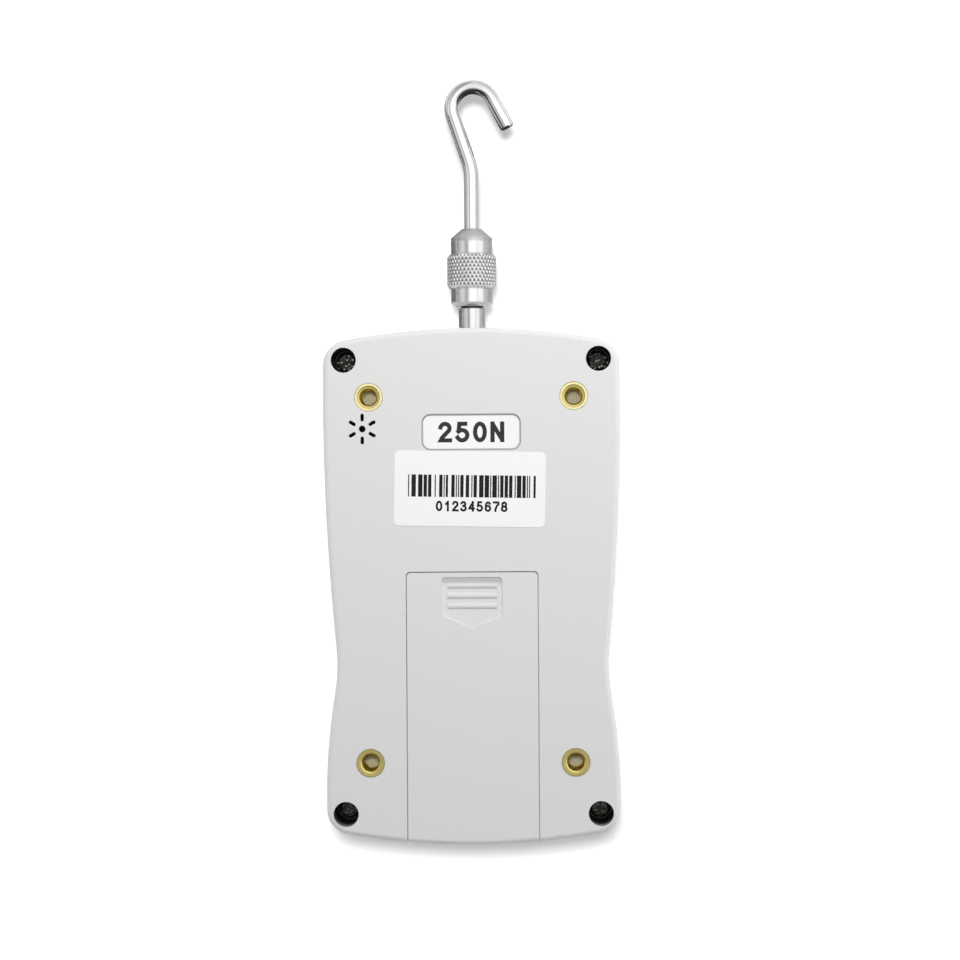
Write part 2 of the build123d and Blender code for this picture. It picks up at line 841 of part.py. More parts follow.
def make_load_cell():
    # an S beam: a bar at each end, a middle beam with a dumbbell eye, and a web at one side of each slot
    half_x, half_z = cell_width / 2, cell_thickness / 2
    z0, z1 = shaft_height - half_z, shaft_height + half_z
    cell = block(-half_x, half_x, cell_bottom, cell_top, z0, z1)
    upper = cell_top - cell_bar
    lower = cell_bottom + cell_bar
    cell -= block(-half_x - 1, half_x - cell_web, upper - cell_slot, upper, z0 - 1, z1 + 1)
    cell -= block(-half_x + cell_web, half_x + 1, lower, lower + cell_slot, z0 - 1, z1 + 1)
    for side in (-1, 1):
        cell -= disc(side * cell_eye_spacing / 2, cell_middle, z0 - 1, z1 + 1, cell_eye_radius)
    cell -= block(-cell_eye_spacing / 2, cell_eye_spacing / 2, cell_middle - cell_eye_slot / 2,
                  cell_middle + cell_eye_slot / 2, z0 - 1, z1 + 1)
    depth = thread_depth + thread_end_room
    cell -= bar_y(0, shaft_height, cell_top - depth, cell_top + 1, thread_radius + thread_fit)
    return cell - bar_y(0, shaft_height, cell_bottom - 1, cell_bottom + depth, thread_radius + thread_fit)


def make_cell_bracket():
    low = shaft_height - bracket_drop
    bracket = block(-bracket_half_width, bracket_half_width, bracket_back, cell_bottom, low, flange_back)
    bracket += block(-bracket_half_width, bracket_half_width, bracket_back, bracket_back + bracket_reach,
                     flange_front, flange_back)
    near = cell_width / 2 + bracket_clearance
    rib = [(cell_bottom, low + 1), (cell_bottom + gusset_length, flange_front), (cell_bottom, flange_front)]
    bracket += side_prism(rib, near, near + gusset_thickness)
    bracket += side_prism(rib, -near - gusset_thickness, -near)
    for x, y in bracket_screw_places():
        bracket -= disc(x, y, flange_front - 1, flange_back + 1, bracket_screw_radius + screw_clearance)
    hole = thread_radius + screw_clearance
    mouth = bolt_head_radius + bolt_sink_room
    rim = bracket_back + bolt_head_sunk
    return bracket - turned_on_shaft([
        (0, bracket_back - 1), (mouth, bracket_back - 1), (mouth, rim), (hole, rim + mouth - hole),
        (hole, cell_bottom + 1), (0, cell_bottom + 1),
    ])


def make_anchor_bolt():
    # a countersunk bolt, so that nothing stands out of the bracket toward the battery bay
    head_end = bracket_back + bolt_head_sunk
    bolt = turned_on_shaft([
        (0, head_end), (bolt_head_radius, head_end),
        (thread_radius, head_end + bolt_head_radius - thread_radius),
        (thread_radius, cell_bottom + thread_depth - 1), (thread_radius - 1, cell_bottom + thread_depth),
        (0, cell_bottom + thread_depth),
    ])
    key = Pos(0, head_end + bolt_socket_depth, shaft_height) * Rot(90, 0, 0)
    return bolt - key * extrude(hexagon(bolt_socket_flats), amount=bolt_socket_depth + 1)


def make_bracket_screws():
    return [make_screw(x, y, flange_front, 1, bracket_screw_radius, bracket_screw_length, 2.75, 2.0)
            for x, y in bracket_screw_places()]


def make_jam_nut():
    nut = Pos(0, cell_top + jam_nut_height, shaft_height) * Rot(90, 0, 0) * extrude(
        hexagon(jam_nut_flats), amount=jam_nut_height)
    round_off = turned_on_shaft([
        (0, cell_top), (jam_nut_flats / 2 * 1.07, cell_top), (jam_nut_flats / 2 * 1.16, cell_top + 0.6),
        (jam_nut_flats / 2 * 1.16, cell_top + jam_nut_height - 0.6),
        (jam_nut_flats / 2 * 1.07, cell_top + jam_nut_height), (0, cell_top + jam_nut_height),
    ])
    return (nut & round_off) - bar_y(0, shaft_height, cell_top - 1, cell_top + jam_nut_height + 1,
                                     thread_radius + thread_fit)


def make_load_shaft():
    shank = cell_top + jam_nut_height + shaft_shoulder_gap
    shoulder = nut_base - nut_shoulder_gap
    return turned_on_shaft([
        (0, cell_top - thread_depth), (thread_radius - 1, cell_top - thread_depth),
        (thread_radius, cell_top - thread_depth + 1), (thread_radius, shank), (shaft_radius, shank),
        (shaft_radius, shoulder - 0.3), (shaft_radius - 0.3, shoulder), (thread_radius, shoulder),
        (thread_radius, thread_end - 0.6), (thread_radius - 0.6, thread_end), (0, thread_end),
    ])


# ---- coupling nut and hook


def make_coupling_nut():
    lower = nut_base + nut_plain_length
    knurl_end = lower + knurl_length
    upper = knurl_end + nut_upper_length
    bore = thread_radius + thread_fit
    seat = thread_end + collar_height
    return turned_on_shaft([
        (bore, nut_base), (nut_plain_radius - nut_chamfer, nut_base),
        (nut_plain_radius, nut_base + nut_chamfer), (nut_plain_radius, lower),
        (knurl_radius - knurl_chamfer, lower), (knurl_radius, lower + knurl_chamfer),
        (knurl_radius, knurl_end - knurl_chamfer), (knurl_radius - knurl_chamfer, knurl_end),
        (nut_plain_radius, knurl_end), (nut_plain_radius, upper), (nut_tip_radius, nut_top),
        (wire_radius + wire_fit, nut_top), (wire_radius + wire_fit, seat), (bore, seat),
    ])


def hook_path():
    # up from the collar, a lean to one side, a tight bow over the top and a short arm
    lean, arm = radians(hook_lean), radians(hook_arm_angle)
    foot = (0.0, thread_end + collar_height - 1)
    bend = (0.0, nut_top + hook_bend_from_nut)
    start = (bend[0] - hook_lean_length * sin(lean), bend[1] + hook_lean_length * cos(lean))
    centre = (start[0] + hook_bow_radius * cos(lean), start[1] + hook_bow_radius * sin(lean))
    end = (centre[0] + hook_bow_radius * cos(arm), centre[1] + hook_bow_radius * sin(arm))
    tip = (end[0] + hook_arm_length * sin(arm), end[1] - hook_arm_length * cos(arm))
    rise = FilletPolyline(foot, bend, start, radius=hook_bend_radius)
    bow = arc_between_over(centre, hook_bow_radius, start, end)
    return rise + bow + Line(end, tip), centre


def arc_between_over(centre, radius, start, end):
    # the longer way round the top, clockwise from start to end
    a = atan2(start[1] - centre[1], start[0] - centre[0]) % (2 * pi)
    b = atan2(end[1] - centre[1], end[0] - centre[0])
    middle = (a + b) / 2
    through = (centre[0] + radius * cos(middle), centre[1] + radius * sin(middle))
    return ThreePointArc(start, through, end)


def make_hook():
    path, _ = hook_path()
    section = Plane(origin=path @ 0, z_dir=path % 0) * Circle(wire_radius)
    wire = sweep(section, path=path)
    tip = wire.faces().sort_by(Axis.X)[-1]
    wire = chamfer(tip.edges(), hook_tip_chamfer)
    wire = Pos(0, 0, shaft_height) * wire
    return wire + bar_y(0, shaft_height, thread_end, thread_end + collar_height, collar_radius)


# ---- battery, contacts and leads


def make_battery(side):
    # one cell's button points to the hook and the other's to the bottom end
    base = bay_bottom + contact_thickness + spring_room
    tube = battery_length - battery_nub_height
    cell = turned_on_shaft([
        (0, 0), (battery_radius - 0.6, 0), (battery_radius, 0.6), (battery_radius, tube - 0.6),
        (battery_radius - 0.6, tube), (battery_nub_radius, tube), (battery_nub_radius, battery_length - 0.3),
        (battery_nub_radius - 0.3, battery_length), (0, battery_length),
    ])
    cell = Pos(0, 0, battery_height - shaft_height) * cell
    if side > 0:
        return Pos(battery_x, base, 0) * cell
    turned = Pos(0, 0, battery_height) * Rot(0, 0, 180) * Pos(0, 0, -battery_height) * cell
    return Pos(-battery_x, bay_top - contact_thickness - spring_room, 0) * turned


def make_spring(side):
    height = spring_room - 2 * spring_wire_radius
    coil = Helix(pitch=height / spring_turns, height=height, radius=spring_radius)
    # an eight-sided wire keeps the long coil light
    section = Plane(origin=coil @ 0, z_dir=coil % 0) * RegularPolygon(spring_wire_radius, 8)
    wire = sweep(section, path=coil)
    if side > 0:
        place = Pos(battery_x, bay_bottom + contact_thickness + spring_wire_radius, battery_height)
        return place * Rot(-90, 0, 0) * wire
    place = Pos(-battery_x, bay_top - contact_thickness - spring_wire_radius, battery_height)
    return place * Rot(90, 0, 0) * wire


def make_contacts():
    low = battery_height - contact_height / 2
    high = battery_height + contact_height / 2
    half = contact_width / 2
    bridge = block(-battery_x - half, battery_x + half, bay_bottom, bay_bottom + contact_thickness, low, high)
    plates = [bridge]
    for side in (-1, 1):
        x = side * battery_x
        single = block(x - half, x + half, bay_top - contact_thickness, bay_top, low, high)
        plates.append(single + contact_tab_block(x, bay_top - contact_thickness, tab_end, 0))
    return plates


def corner_radii(points):
    # each bend takes 0.45 of the shorter run beside it
    radii = []
    for before, corner, after in zip(points, points[1:], points[2:]):
        run_in, run_out = Vector(*corner) - Vector(*before), Vector(*after) - Vector(*corner)
        half_turn = radians(run_in.get_angle(run_out)) / 2
        radii.append(0.45 * min(run_in.length, run_out.length) / tan(half_turn))
    return radii


def make_lead(points, radius):
    path = FilletPolyline(*points, radius=corner_radii(points))
    return sweep(Plane(origin=path @ 0, z_dir=path % 0) * Circle(radius), path=path)


def make_sensor_lead():
    x, y = sensor_plug
    return make_lead([
        (-cell_width / 2, cell_middle, shaft_height),
        (-cell_width / 2 - sensor_lead_run, cell_middle, shaft_height),
        (x, y, plug_top + sensor_lead_rise),
        (x, y, plug_top),
    ], sensor_lead_radius)


def make_battery_leads():
    height = tab_base + contact_thickness / 2
    leads = []
    for side in (-1, 1):
        x, y = battery_plug[0] + side * battery_lead_spacing / 2, battery_plug[1]
        leads.append(make_lead([
            (side * battery_x, tab_end, height),
            (side * battery_x, tab_end + battery_lead_run, height),
            (x, y, plug_top + battery_lead_rise),
            (x, y, plug_top),
        ], battery_lead_radius))
    return leads


# ---- write the pieces


def all_pieces():
    pieces = {
        "rear_case": make_rear_case(),
        "front_case": make_front_case(),
        "battery_door": make_battery_door(),
        "case_screws": make_case_screws(),
        "mount_inserts": make_mount_inserts(),
        "rating_label": make_rating_label(),
        "serial_label": make_serial_label(),
        "front_overlay": make_front_overlay(),
        "display_window": make_display_window(),
        "lcd_glass": make_lcd_glass(),
        "lcd_frame": make_lcd_frame(),
        "main_board": make_main_board(),
        "circuit_chips": make_circuit_chips(),
        "board_screws": make_board_screws(),
        "key_switches": make_key_switches(),
        "buzzer": make_buzzer(),
        "dc_jack": make_dc_jack(),
        "data_port": make_data_port(),
        "load_cell": make_load_cell(),
        "cell_bracket": make_cell_bracket(),
        "anchor_bolt": make_anchor_bolt(),
        "bracket_screws": make_bracket_screws(),
        "shaft_jam_nut": make_jam_nut(),
        "load_shaft": make_load_shaft(),
        "coupling_nut": make_coupling_nut(),
        "hook": make_hook(),
        "battery_cells": [make_battery(side) for side in (-1, 1)],
        "battery_springs": [make_spring(side) for side in (-1, 1)],
        "battery_contacts": make_contacts(),
        "sensor_lead": make_sensor_lead(),
        "battery_leads": make_battery_leads(),
    }
    for name, (x, y) in key_places().items():
        pieces[name] = make_key(x, y)
    return pieces


def write_pieces():
    os.makedirs("parts", exist_ok=True)
    _, bow_centre = hook_path()
    hook_top = bow_centre[1] + hook_bow_radius + wire_radius
    centred = Pos(0, -(hook_top + bottom_y) / 2, 0)
    for name, piece in all_pieces().items():
        solids = []
        for item in piece if isinstance(piece, list) else [piece]:
            solids += list((centred * item).solids())
        shape = solids[0] if len(solids) == 1 else Compound(children=solids)
        export_step(shape, f"parts/{name}.step")
    print("origin is", round((hook_top + bottom_y) / 2, 3), "mm toward the hook from the case's middle")


write_pieces()
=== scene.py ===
import math
import random

import bpy
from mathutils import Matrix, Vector


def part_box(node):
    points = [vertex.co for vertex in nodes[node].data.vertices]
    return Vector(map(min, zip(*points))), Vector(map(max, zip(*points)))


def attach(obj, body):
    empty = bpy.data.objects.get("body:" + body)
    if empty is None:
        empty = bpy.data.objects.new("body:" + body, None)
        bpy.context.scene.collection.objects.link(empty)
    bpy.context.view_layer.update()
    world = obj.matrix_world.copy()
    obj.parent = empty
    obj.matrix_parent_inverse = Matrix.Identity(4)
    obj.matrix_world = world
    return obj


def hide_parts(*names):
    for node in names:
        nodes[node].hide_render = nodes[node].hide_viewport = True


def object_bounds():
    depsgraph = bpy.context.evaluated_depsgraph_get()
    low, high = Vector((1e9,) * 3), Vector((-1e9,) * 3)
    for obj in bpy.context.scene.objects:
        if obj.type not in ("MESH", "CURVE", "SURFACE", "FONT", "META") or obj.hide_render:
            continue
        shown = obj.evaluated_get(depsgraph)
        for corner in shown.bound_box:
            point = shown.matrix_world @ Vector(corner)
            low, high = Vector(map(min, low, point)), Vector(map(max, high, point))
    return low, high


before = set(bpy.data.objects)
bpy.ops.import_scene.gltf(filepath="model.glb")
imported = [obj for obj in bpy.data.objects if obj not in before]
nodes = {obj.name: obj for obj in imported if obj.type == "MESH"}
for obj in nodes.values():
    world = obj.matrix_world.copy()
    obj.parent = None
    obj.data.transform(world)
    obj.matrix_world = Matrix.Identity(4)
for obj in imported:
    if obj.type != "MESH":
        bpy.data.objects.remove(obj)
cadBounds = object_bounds()
mm = 0.001
print("frame loaded:", len(nodes), "nodes")


def makeActive(*pieces):
    # these pieces are selected alone, and the first of them is active
    bpy.ops.object.select_all(action="DESELECT")
    for piece in pieces:
        piece.select_set(True)
    bpy.context.view_layer.objects.active = pieces[0]


def smoothByAngle(piece, degrees):
    makeActive(piece)
    bpy.ops.object.shade_smooth_by_angle(angle=math.radians(degrees))


def newPiece(name, vertices, edges, faces):
    mesh = bpy.data.meshes.new(name)
    mesh.from_pydata(vertices, edges, faces)
    piece = bpy.data.objects.new(name, mesh)
    bpy.context.collection.objects.link(piece)
    return piece


def joinPieces(name, pieces):
    makeActive(*pieces)
    bpy.ops.object.join()
    pieces[0].name = name
    return pieces[0]


def wave(turns):
    # a triangle wave: 0 at whole turns, 1 half way between
    return 1 - abs(2 * (turns % 1) - 1)


def spinProfile(name, profile, foot, axis, steps):
    # a closed outline of (radius, along) in millimetres, turned once round the axis
    seam = 0.001
    across = Vector((1, 0, 0))
    points = [foot + across * radius * mm + axis * along * mm for radius, along in profile]
    piece = newPiece(name, points, [(i, (i + 1) % len(points)) for i in range(len(points))], [])
    makeActive(piece)
    bpy.ops.object.mode_set(mode="EDIT")
    bpy.ops.mesh.select_all(action="SELECT")
    bpy.ops.mesh.spin(steps=steps, angle=math.tau, center=foot, axis=axis)
    # close the seam and turn all faces outwards
    bpy.ops.mesh.select_all(action="SELECT")
    bpy.ops.mesh.remove_doubles(threshold=seam * mm)
    bpy.ops.mesh.normals_make_consistent(inside=False)
    bpy.ops.object.mode_set(mode="OBJECT")
    return piece


# ---- shader helpers

def feed(tree, node, inputs):
    # each input gets a value or another node's output
    for name, value in inputs.items():
        if isinstance(value, bpy.types.NodeSocket):
            tree.links.new(value, node.inputs[name])
        else:
            node.inputs[name].default_value = value
    return node


def addNode(tree, kind, inputs=None, **settings):
    made = tree.nodes.new("ShaderNode" + kind)
    for name, value in settings.items():
        setattr(made, name, value)
    return feed(tree, made, inputs or {})


def addMath(tree, operation, *values):
    return addNode(tree, "Math", dict(enumerate(values)), operation=operation).outputs[0]


def times(tree, first, second):
    return addMath(tree, "MULTIPLY", first, second)


def minus(tree, first, second):
    return addMath(tree, "SUBTRACT", first, second)


def unsigned(tree, value):
    return addMath(tree, "ABSOLUTE", value)


def addScaled(tree, base, value, factor):
    # base + value * factor
    return addMath(tree, "ADD", base, times(tree, value, factor))


def within(tree, value, middle, half):
    # 1 where the value is less than half away from the middle, both in millimetres
    away = unsigned(tree, minus(tree, value, middle * mm))
    return addMath(tree, "LESS_THAN", away, half * mm)


def addRange(tree, value, low, high, newLow, newHigh):
    made = addNode(tree, "MapRange", {"Value": value, "From Min": low, "From Max": high,
                                                "To Min": newLow, "To Max": newHigh})
    return made.outputs["Result"]


def addNoise(tree, place, scale, **more):
    return addNode(tree, "TexNoise", {"Vector": place, "Scale": scale, **more}).outputs["Fac"]


def newGroup(name, **inputs):
    tree = bpy.data.node_groups.new(name, "ShaderNodeTree")
    for label, value in inputs.items():
        socket = tree.interface.new_socket(label, in_out="INPUT", socket_type="NodeSocketFloat")
        socket.default_value = value
    return tree, tree.nodes.new("NodeGroupInput").outputs


def endGroup(tree, **results):
    for label in results:
        tree.interface.new_socket(label, in_out="OUTPUT", socket_type="NodeSocketFloat")
    feed(tree, tree.nodes.new("NodeGroupOutput"), results)
    return tree


def useGroup(tree, group, **values):
    return addNode(tree, "Group", values, node_tree=group).outputs


def objectPlace(tree):
    return addNode(tree, "TexCoord").outputs["Object"]


def placeParts(tree):
    return addNode(tree, "SeparateXYZ", {0: objectPlace(tree)}).outputs


# fine moulded grain: a pebbled height and a mask of its low spots
def makeGrain():
    tree, given = newGroup("mouldedGrain", Scale=5000.0, Softness=0.5)
    place = objectPlace(tree)
    fine = addNoise(tree, place, given["Scale"], Detail=3.0)
    pebble = addNode(tree, "TexVoronoi", {"Vector": place, "Scale": given["Scale"],
                                                    "Smoothness": given["Softness"]}, feature="SMOOTH_F1")
    height = addScaled(tree, pebble.outputs["Distance"], fine, 0.6)
    return endGroup(tree, Height=height, Lows=addRange(tree, height, 0.35, 0.8, 1, 0))


# slow, faint unevenness of a surface that has been handled
def makeMottle():
    tree, given = newGroup("handledMottle", Scale=60.0, Amount=0.03)
    place = objectPlace(tree)
    broad = addNoise(tree, place, given["Scale"], Detail=4.0, Roughness=0.6)
    specks = addNoise(tree, place, times(tree, given["Scale"], 9.0), Detail=2.0)
    blend = addScaled(tree, times(tree, broad, 0.7), specks, 0.3)
    shade = addScaled(tree, 1.0, minus(tree, blend, 0.5), given["Amount"])
    return endGroup(tree, Shade=shade, Smudge=addRange(tree, blend, 0.42, 0.62, 0, 1))


# marks that a lathe leaves round the Y axis
def makeTurned():
    tree, given = newGroup("latheMarks", Scale=9000.0)
    squeeze = addNode(tree, "Mapping", {"Vector": objectPlace(tree), "Scale": (0.02, 1.0, 0.02)})
    lines = addNoise(tree, squeeze.outputs[0], given["Scale"], Detail=2.0)
    return endGroup(tree, Height=lines, Bands=addRange(tree, lines, 0.35, 0.65, 0, 1))


# short hair scratches running mostly one way
def makeScratches():
    tree, given = newGroup("hairScratches", Scale=700.0, Stretch=14.0, Turn=0.3)
    turn = addNode(tree, "CombineXYZ", {"Z": given["Turn"]}).outputs[0]
    size = addNode(tree, "CombineXYZ", {"X": given["Stretch"], "Y": 1.0, "Z": 1.0}).outputs[0]
    squeeze = addNode(tree, "Mapping", {"Vector": objectPlace(tree), "Rotation": turn, "Scale": size})
    lines = addNoise(tree, squeeze.outputs[0], given["Scale"], Detail=1.0)
    return endGroup(tree, Mask=addRange(tree, lines, 0.66, 0.72, 0, 1))


grainGroup = makeGrain()
mottleGroup = makeMottle()
turnedGroup = makeTurned()
scratchGroup = makeScratches()


def addMottle(tree, scale, amount):
    return useGroup(tree, mottleGroup, Scale=scale, Amount=amount)


def newMaterial(name):
    material = bpy.data.materials.new(name)
    material.use_nodes = True
    return material, material.node_tree


def shadeColour(tree, colour, *factors):
    # the colour multiplied by each factor in turn
    mixed = addNode(tree, "RGB")
    mixed.outputs[0].default_value = (*colour, 1)
    output = mixed.outputs[0]
    for factor in factors:
        output = addNode(tree, "VectorMath", {0: output, "Scale": factor}, operation="SCALE").outputs[0]
    return output


def mixColour(tree, factor, first, second):
    # the second colour is given in numbers
    made = addNode(tree, "Mix", {"Factor": factor, 6: first, 7: (*second, 1)}, data_type="RGBA")
    return made.outputs[2]


def setLook(material, colour, rough, height=None, depth=0.0, **more):
    # the bump's depth is in millimetres; other sockets are named with underscores
    tree = material.node_tree
    shader = tree.nodes["Principled BSDF"]
    feed(tree, shader, {"Base Color": colour, "Roughness": rough})
    feed(tree, shader, {label.replace("_", " "): value for label, value in more.items()})
    if height is not None:
        bump = addNode(tree, "Bump", {"Height": height, "Distance": depth * mm})
        feed(tree, shader, {"Normal": bump.outputs["Normal"]})
    return material


# ---- finishes

caseLook = {
    "colour": (0.718, 0.72, 0.714),
    "middleY": -34.842,
    # the four screw wells, painted black as shade: distances from the middle, radius, and the heights the
    # painted shade stays between
    "wells": (34.5, 61.45, 3.46, 12.0, 35.75),
    "wellShadeColour": (0.012, 0.013, 0.010),
    # where light falls on the outer side of the two lower wells the painted shade fades: distances below the
    # middle, heights and strength
    "wellLit": (60.5, 64.5, 28.0, 35.6, 0.6),
    # painted light, tinted by the brass, at the bottoms of the four insert holes
    "holes": (27.75, 49.5, 2.6, 12.0, 27.0),
    "holesUp": 1.9,
    "holeLightColour": (0.86, 0.79, 0.54),
    # painted shade in the gap round the rating label: half width, half length, middle and the height below
    "labelGap": (13.7, 5.2, 6.64, 35.93),
    "gapShadeColour": (0.40, 0.40, 0.40),
    "grainScale": 3600.0,
    "grainDepth": 0.012,
    # how much low spots darken it and scratches lighten it
    "lowsDark": 0.03,
    "scratchesPale": 0.02,
}


def nearFour(tree, place, middleY, x, y, radius, foot, top):
    # 1 inside four round places that lie evenly about a middle, between two heights
    sideways = minus(tree, unsigned(tree, place["X"]), x * mm)
    fromMiddle = minus(tree, place["Y"], middleY * mm)
    endways = minus(tree, unsigned(tree, fromMiddle), y * mm)
    far = addMath(tree, "SQRT", addScaled(tree, times(tree, sideways, sideways), endways, endways))
    inBand = within(tree, place["Z"], (top + foot) / 2, (top - foot) / 2)
    return times(tree, addMath(tree, "LESS_THAN", far, radius * mm), inBand)


def makeCasePlastic():
    look = caseLook
    material, tree = newMaterial("casePlastic")
    grain = useGroup(tree, grainGroup, Scale=look["grainScale"], Softness=0.8)
    mottle = addMottle(tree, 45.0, 0.05)
    scratches = useGroup(tree, scratchGroup, Scale=260.0, Stretch=22.0, Turn=0.7)
    place = placeParts(tree)
    # painted shade: the screw wells are painted black, fading where light falls on the outer side of the
    # lower wells
    start, end, low, high, strength = look["wellLit"]
    endways = minus(tree, look["middleY"] * mm, place["Y"])
    lit = times(tree, addRange(tree, endways, start * mm, end * mm, 0, 1),
                addRange(tree, place["Z"], low * mm, high * mm, 0, strength))
    inWellShade = times(tree, nearFour(tree, place, look["middleY"], *look["wells"]),
                   minus(tree, 1.0, lit))
    # painted brass-tinted light at the bottoms of the insert holes
    inHoleLight = nearFour(tree, place, look["middleY"] + look["holesUp"], *look["holes"])
    # painted shade in the gap round the rating label
    halfWidth, halfLength, middleY, top = look["labelGap"]
    across = addMath(tree, "LESS_THAN", unsigned(tree, place["X"]), halfWidth * mm)
    beside = times(tree, across, within(tree, place["Y"], middleY, halfLength))
    inGapShade = times(tree, beside, addMath(tree, "LESS_THAN", place["Z"], top * mm))
    lows = minus(tree, 1.0, times(tree, grain["Lows"], look["lowsDark"]))
    rubbed = addScaled(tree, 1.0, scratches["Mask"], look["scratchesPale"])
    colour = shadeColour(tree, look["colour"], mottle["Shade"], lows, rubbed)
    # mix in the painted shade round the rating label, the painted brass-tinted light in the insert holes and
    # the painted shade in the wells
    for mask, other in ((inGapShade, "gapShadeColour"), (inHoleLight, "holeLightColour"), (inWellShade, "wellShadeColour")):
        colour = mixColour(tree, mask, colour, look[other])
    rough = addScaled(tree, 0.40, mottle["Smudge"], 0.07)
    return setLook(material, colour, rough, grain["Height"], look["grainDepth"])


def makeMatt(name, colour, grain, unevenness, rough, **sockets):
    # moulded rubber or plastic, or a film
    material, tree = newMaterial(name)
    scale, softness, depth = grain
    pebbles = useGroup(tree, grainGroup, Scale=scale, Softness=softness)
    mottle = addMottle(tree, unevenness[0], unevenness[1])
    smudged = addScaled(tree, rough[0], mottle["Smudge"], rough[1])
    colour = shadeColour(tree, colour, mottle["Shade"])
    return setLook(material, colour, smudged, pebbles["Height"], depth, **sockets)


def makeInk(name, colour, patchy):
    # thermal or silk print: dense, with slightly thin spots
    material, tree = newMaterial(name)
    mottle = addMottle(tree, 900.0, patchy)
    return setLook(material, shadeColour(tree, colour, mottle["Shade"]), 0.5, Specular_IOR_Level=0.2)


def makeTurnedMetal(name, colour, roughness, depth, scale, dirt, darkFrom, darkTo, darkLevel):
    # turned metal: ring marks, bands of uneven gloss and a little dirt, and a stretch along Y whose colour is
    # darkened, which on the shaft is painted shade under the nut
    material, tree = newMaterial(name)
    marks = useGroup(tree, turnedGroup, Scale=scale)
    mottle = addMottle(tree, 300.0, dirt)
    # the colour darkens along a stretch of Y: painted shade under the nut on the shaft, and the far end of
    # the hook is darker
    darkening = addRange(tree, placeParts(tree)["Y"], darkFrom * mm, darkTo * mm, 1.0, darkLevel)
    uneven = addScaled(tree, times(tree, marks["Bands"], roughness * 0.35), mottle["Smudge"], roughness * 0.3)
    rough = addMath(tree, "ADD", roughness * 0.75, uneven)
    colour = shadeColour(tree, colour, mottle["Shade"], darkening)
    return setLook(material, colour, rough, marks["Height"], depth, Metallic=1.0)


def makePlated(name, colour, roughness, depth):
    # plated or milled metal with hair scratches
    material, tree = newMaterial(name)
    scratches = useGroup(tree, scratchGroup, Scale=1300.0, Stretch=16.0, Turn=0.25)
    mottle = addMottle(tree, 220.0, 0.12)
    worn = addScaled(tree, roughness * 0.8, scratches["Mask"], 0.2)
    rough = addScaled(tree, worn, mottle["Smudge"], roughness * 0.4)
    colour = shadeColour(tree, colour, mottle["Shade"])
    return setLook(material, colour, rough, scratches["Mask"], depth, Metallic=1.0)


nutLook = {
    "colour": (0.72, 0.72, 0.715),
    # brightness by the mark "raised": darker in the valleys of the knurl, and a painted sheen that makes all
    # of it brighter than plain steel
    "valleyDark": (0.16, 0.86, 0.0, 1.0),
    "knurlSheen": (0.97, 0.99, 1.27, 1.0),
    # where along Y the cone begins, and how dull and how much rougher it is
    "coneFrom": 59.6,
    "coneTo": 60.2,
    "coneDull": 0.86,
    "coneRough": 0.24,
    # roughness by the mark "raised", and how much the bands of gloss add
    "rough": (0.2, 1.0, 0.36, 0.17),
    "bandsRough": 0.07,
}


def makeKnurled():
    look = nutLook
    material, tree = newMaterial("nutSteel")
    marks = useGroup(tree, turnedGroup, Scale=7000.0)
    mottle = addMottle(tree, 260.0, 0.12)
    raised = addNode(tree, "Attribute", attribute_name="raised").outputs["Fac"]
    cone = addRange(tree, placeParts(tree)["Y"], look["coneFrom"] * mm, look["coneTo"] * mm, 0.0, 1.0)
    # the knurl is darker in its valleys, and a painted sheen brightens all of it
    colour = shadeColour(tree, look["colour"], mottle["Shade"], addRange(tree, raised, *look["valleyDark"]),
                         addRange(tree, raised, *look["knurlSheen"]),
                         addRange(tree, cone, 0, 1, 1.0, look["coneDull"]))
    worn = addScaled(tree, addRange(tree, raised, *look["rough"]), cone, look["coneRough"])
    rough = addScaled(tree, worn, marks["Bands"], look["bandsRough"])
    return setLook(material, colour, rough, marks["Height"], 0.006, Metallic=1.0)


brassLook = {
    "colour": (0.74, 0.615, 0.225),
    # the colour of the painted highlight on the rim
    "rimHighlightColour": (0.86, 0.79, 0.42),
    "darkLevel": 0.58,
    # roughness when clean, and what smudges and the marked rim add
    "rough": (0.20, 0.10, 0.16),
}


def makeBrass():
    # clear brass with a painted highlight, pale, on the rim where the attribute "rim" is 1, darker, rougher
    # faces where it is -1, and painted shade on the step, which lies between
    look = brassLook
    material, tree = newMaterial("insertBrass")
    mottle = addMottle(tree, 260.0, 0.22)
    rim = addNode(tree, "Attribute", attribute_name="rim").outputs["Fac"]
    darkening = addRange(tree, rim, -1, 0, look["darkLevel"], 1)
    brass = shadeColour(tree, look["colour"], mottle["Shade"], darkening)
    clean, smudged, rubbed = look["rough"]
    rough = addScaled(tree, addScaled(tree, clean, mottle["Smudge"], smudged),
                      unsigned(tree, rim), rubbed)
    marks = useGroup(tree, grainGroup, Scale=4200.0, Softness=0.4)
    # painted highlight: the rim is mixed towards the pale colour
    colour = mixColour(tree, addRange(tree, rim, 0, 1, 0, 1), brass, look["rimHighlightColour"])
    return setLook(material, colour, rough, marks["Height"], 0.008, Metallic=1.0)


screwLook = {
    "colour": (0.016, 0.017, 0.013),
    # brightness by the height of the grain
    "grainShade": (0.3, 0.9, 0.6, 1.5),
    "grainDepth": 0.16,
    "glintScale": 640.0,
    "glintColour": (0.80, 0.82, 0.68),
    # the painted glints' brightness by the distance from the middles of their specks and, for the two pairs
    # of screws, by Y
    "glintReach": (0.10, 0.20, 1, 0),
    "glintPairs": (-0.05, 0.0, 0.08, 1.0),
}


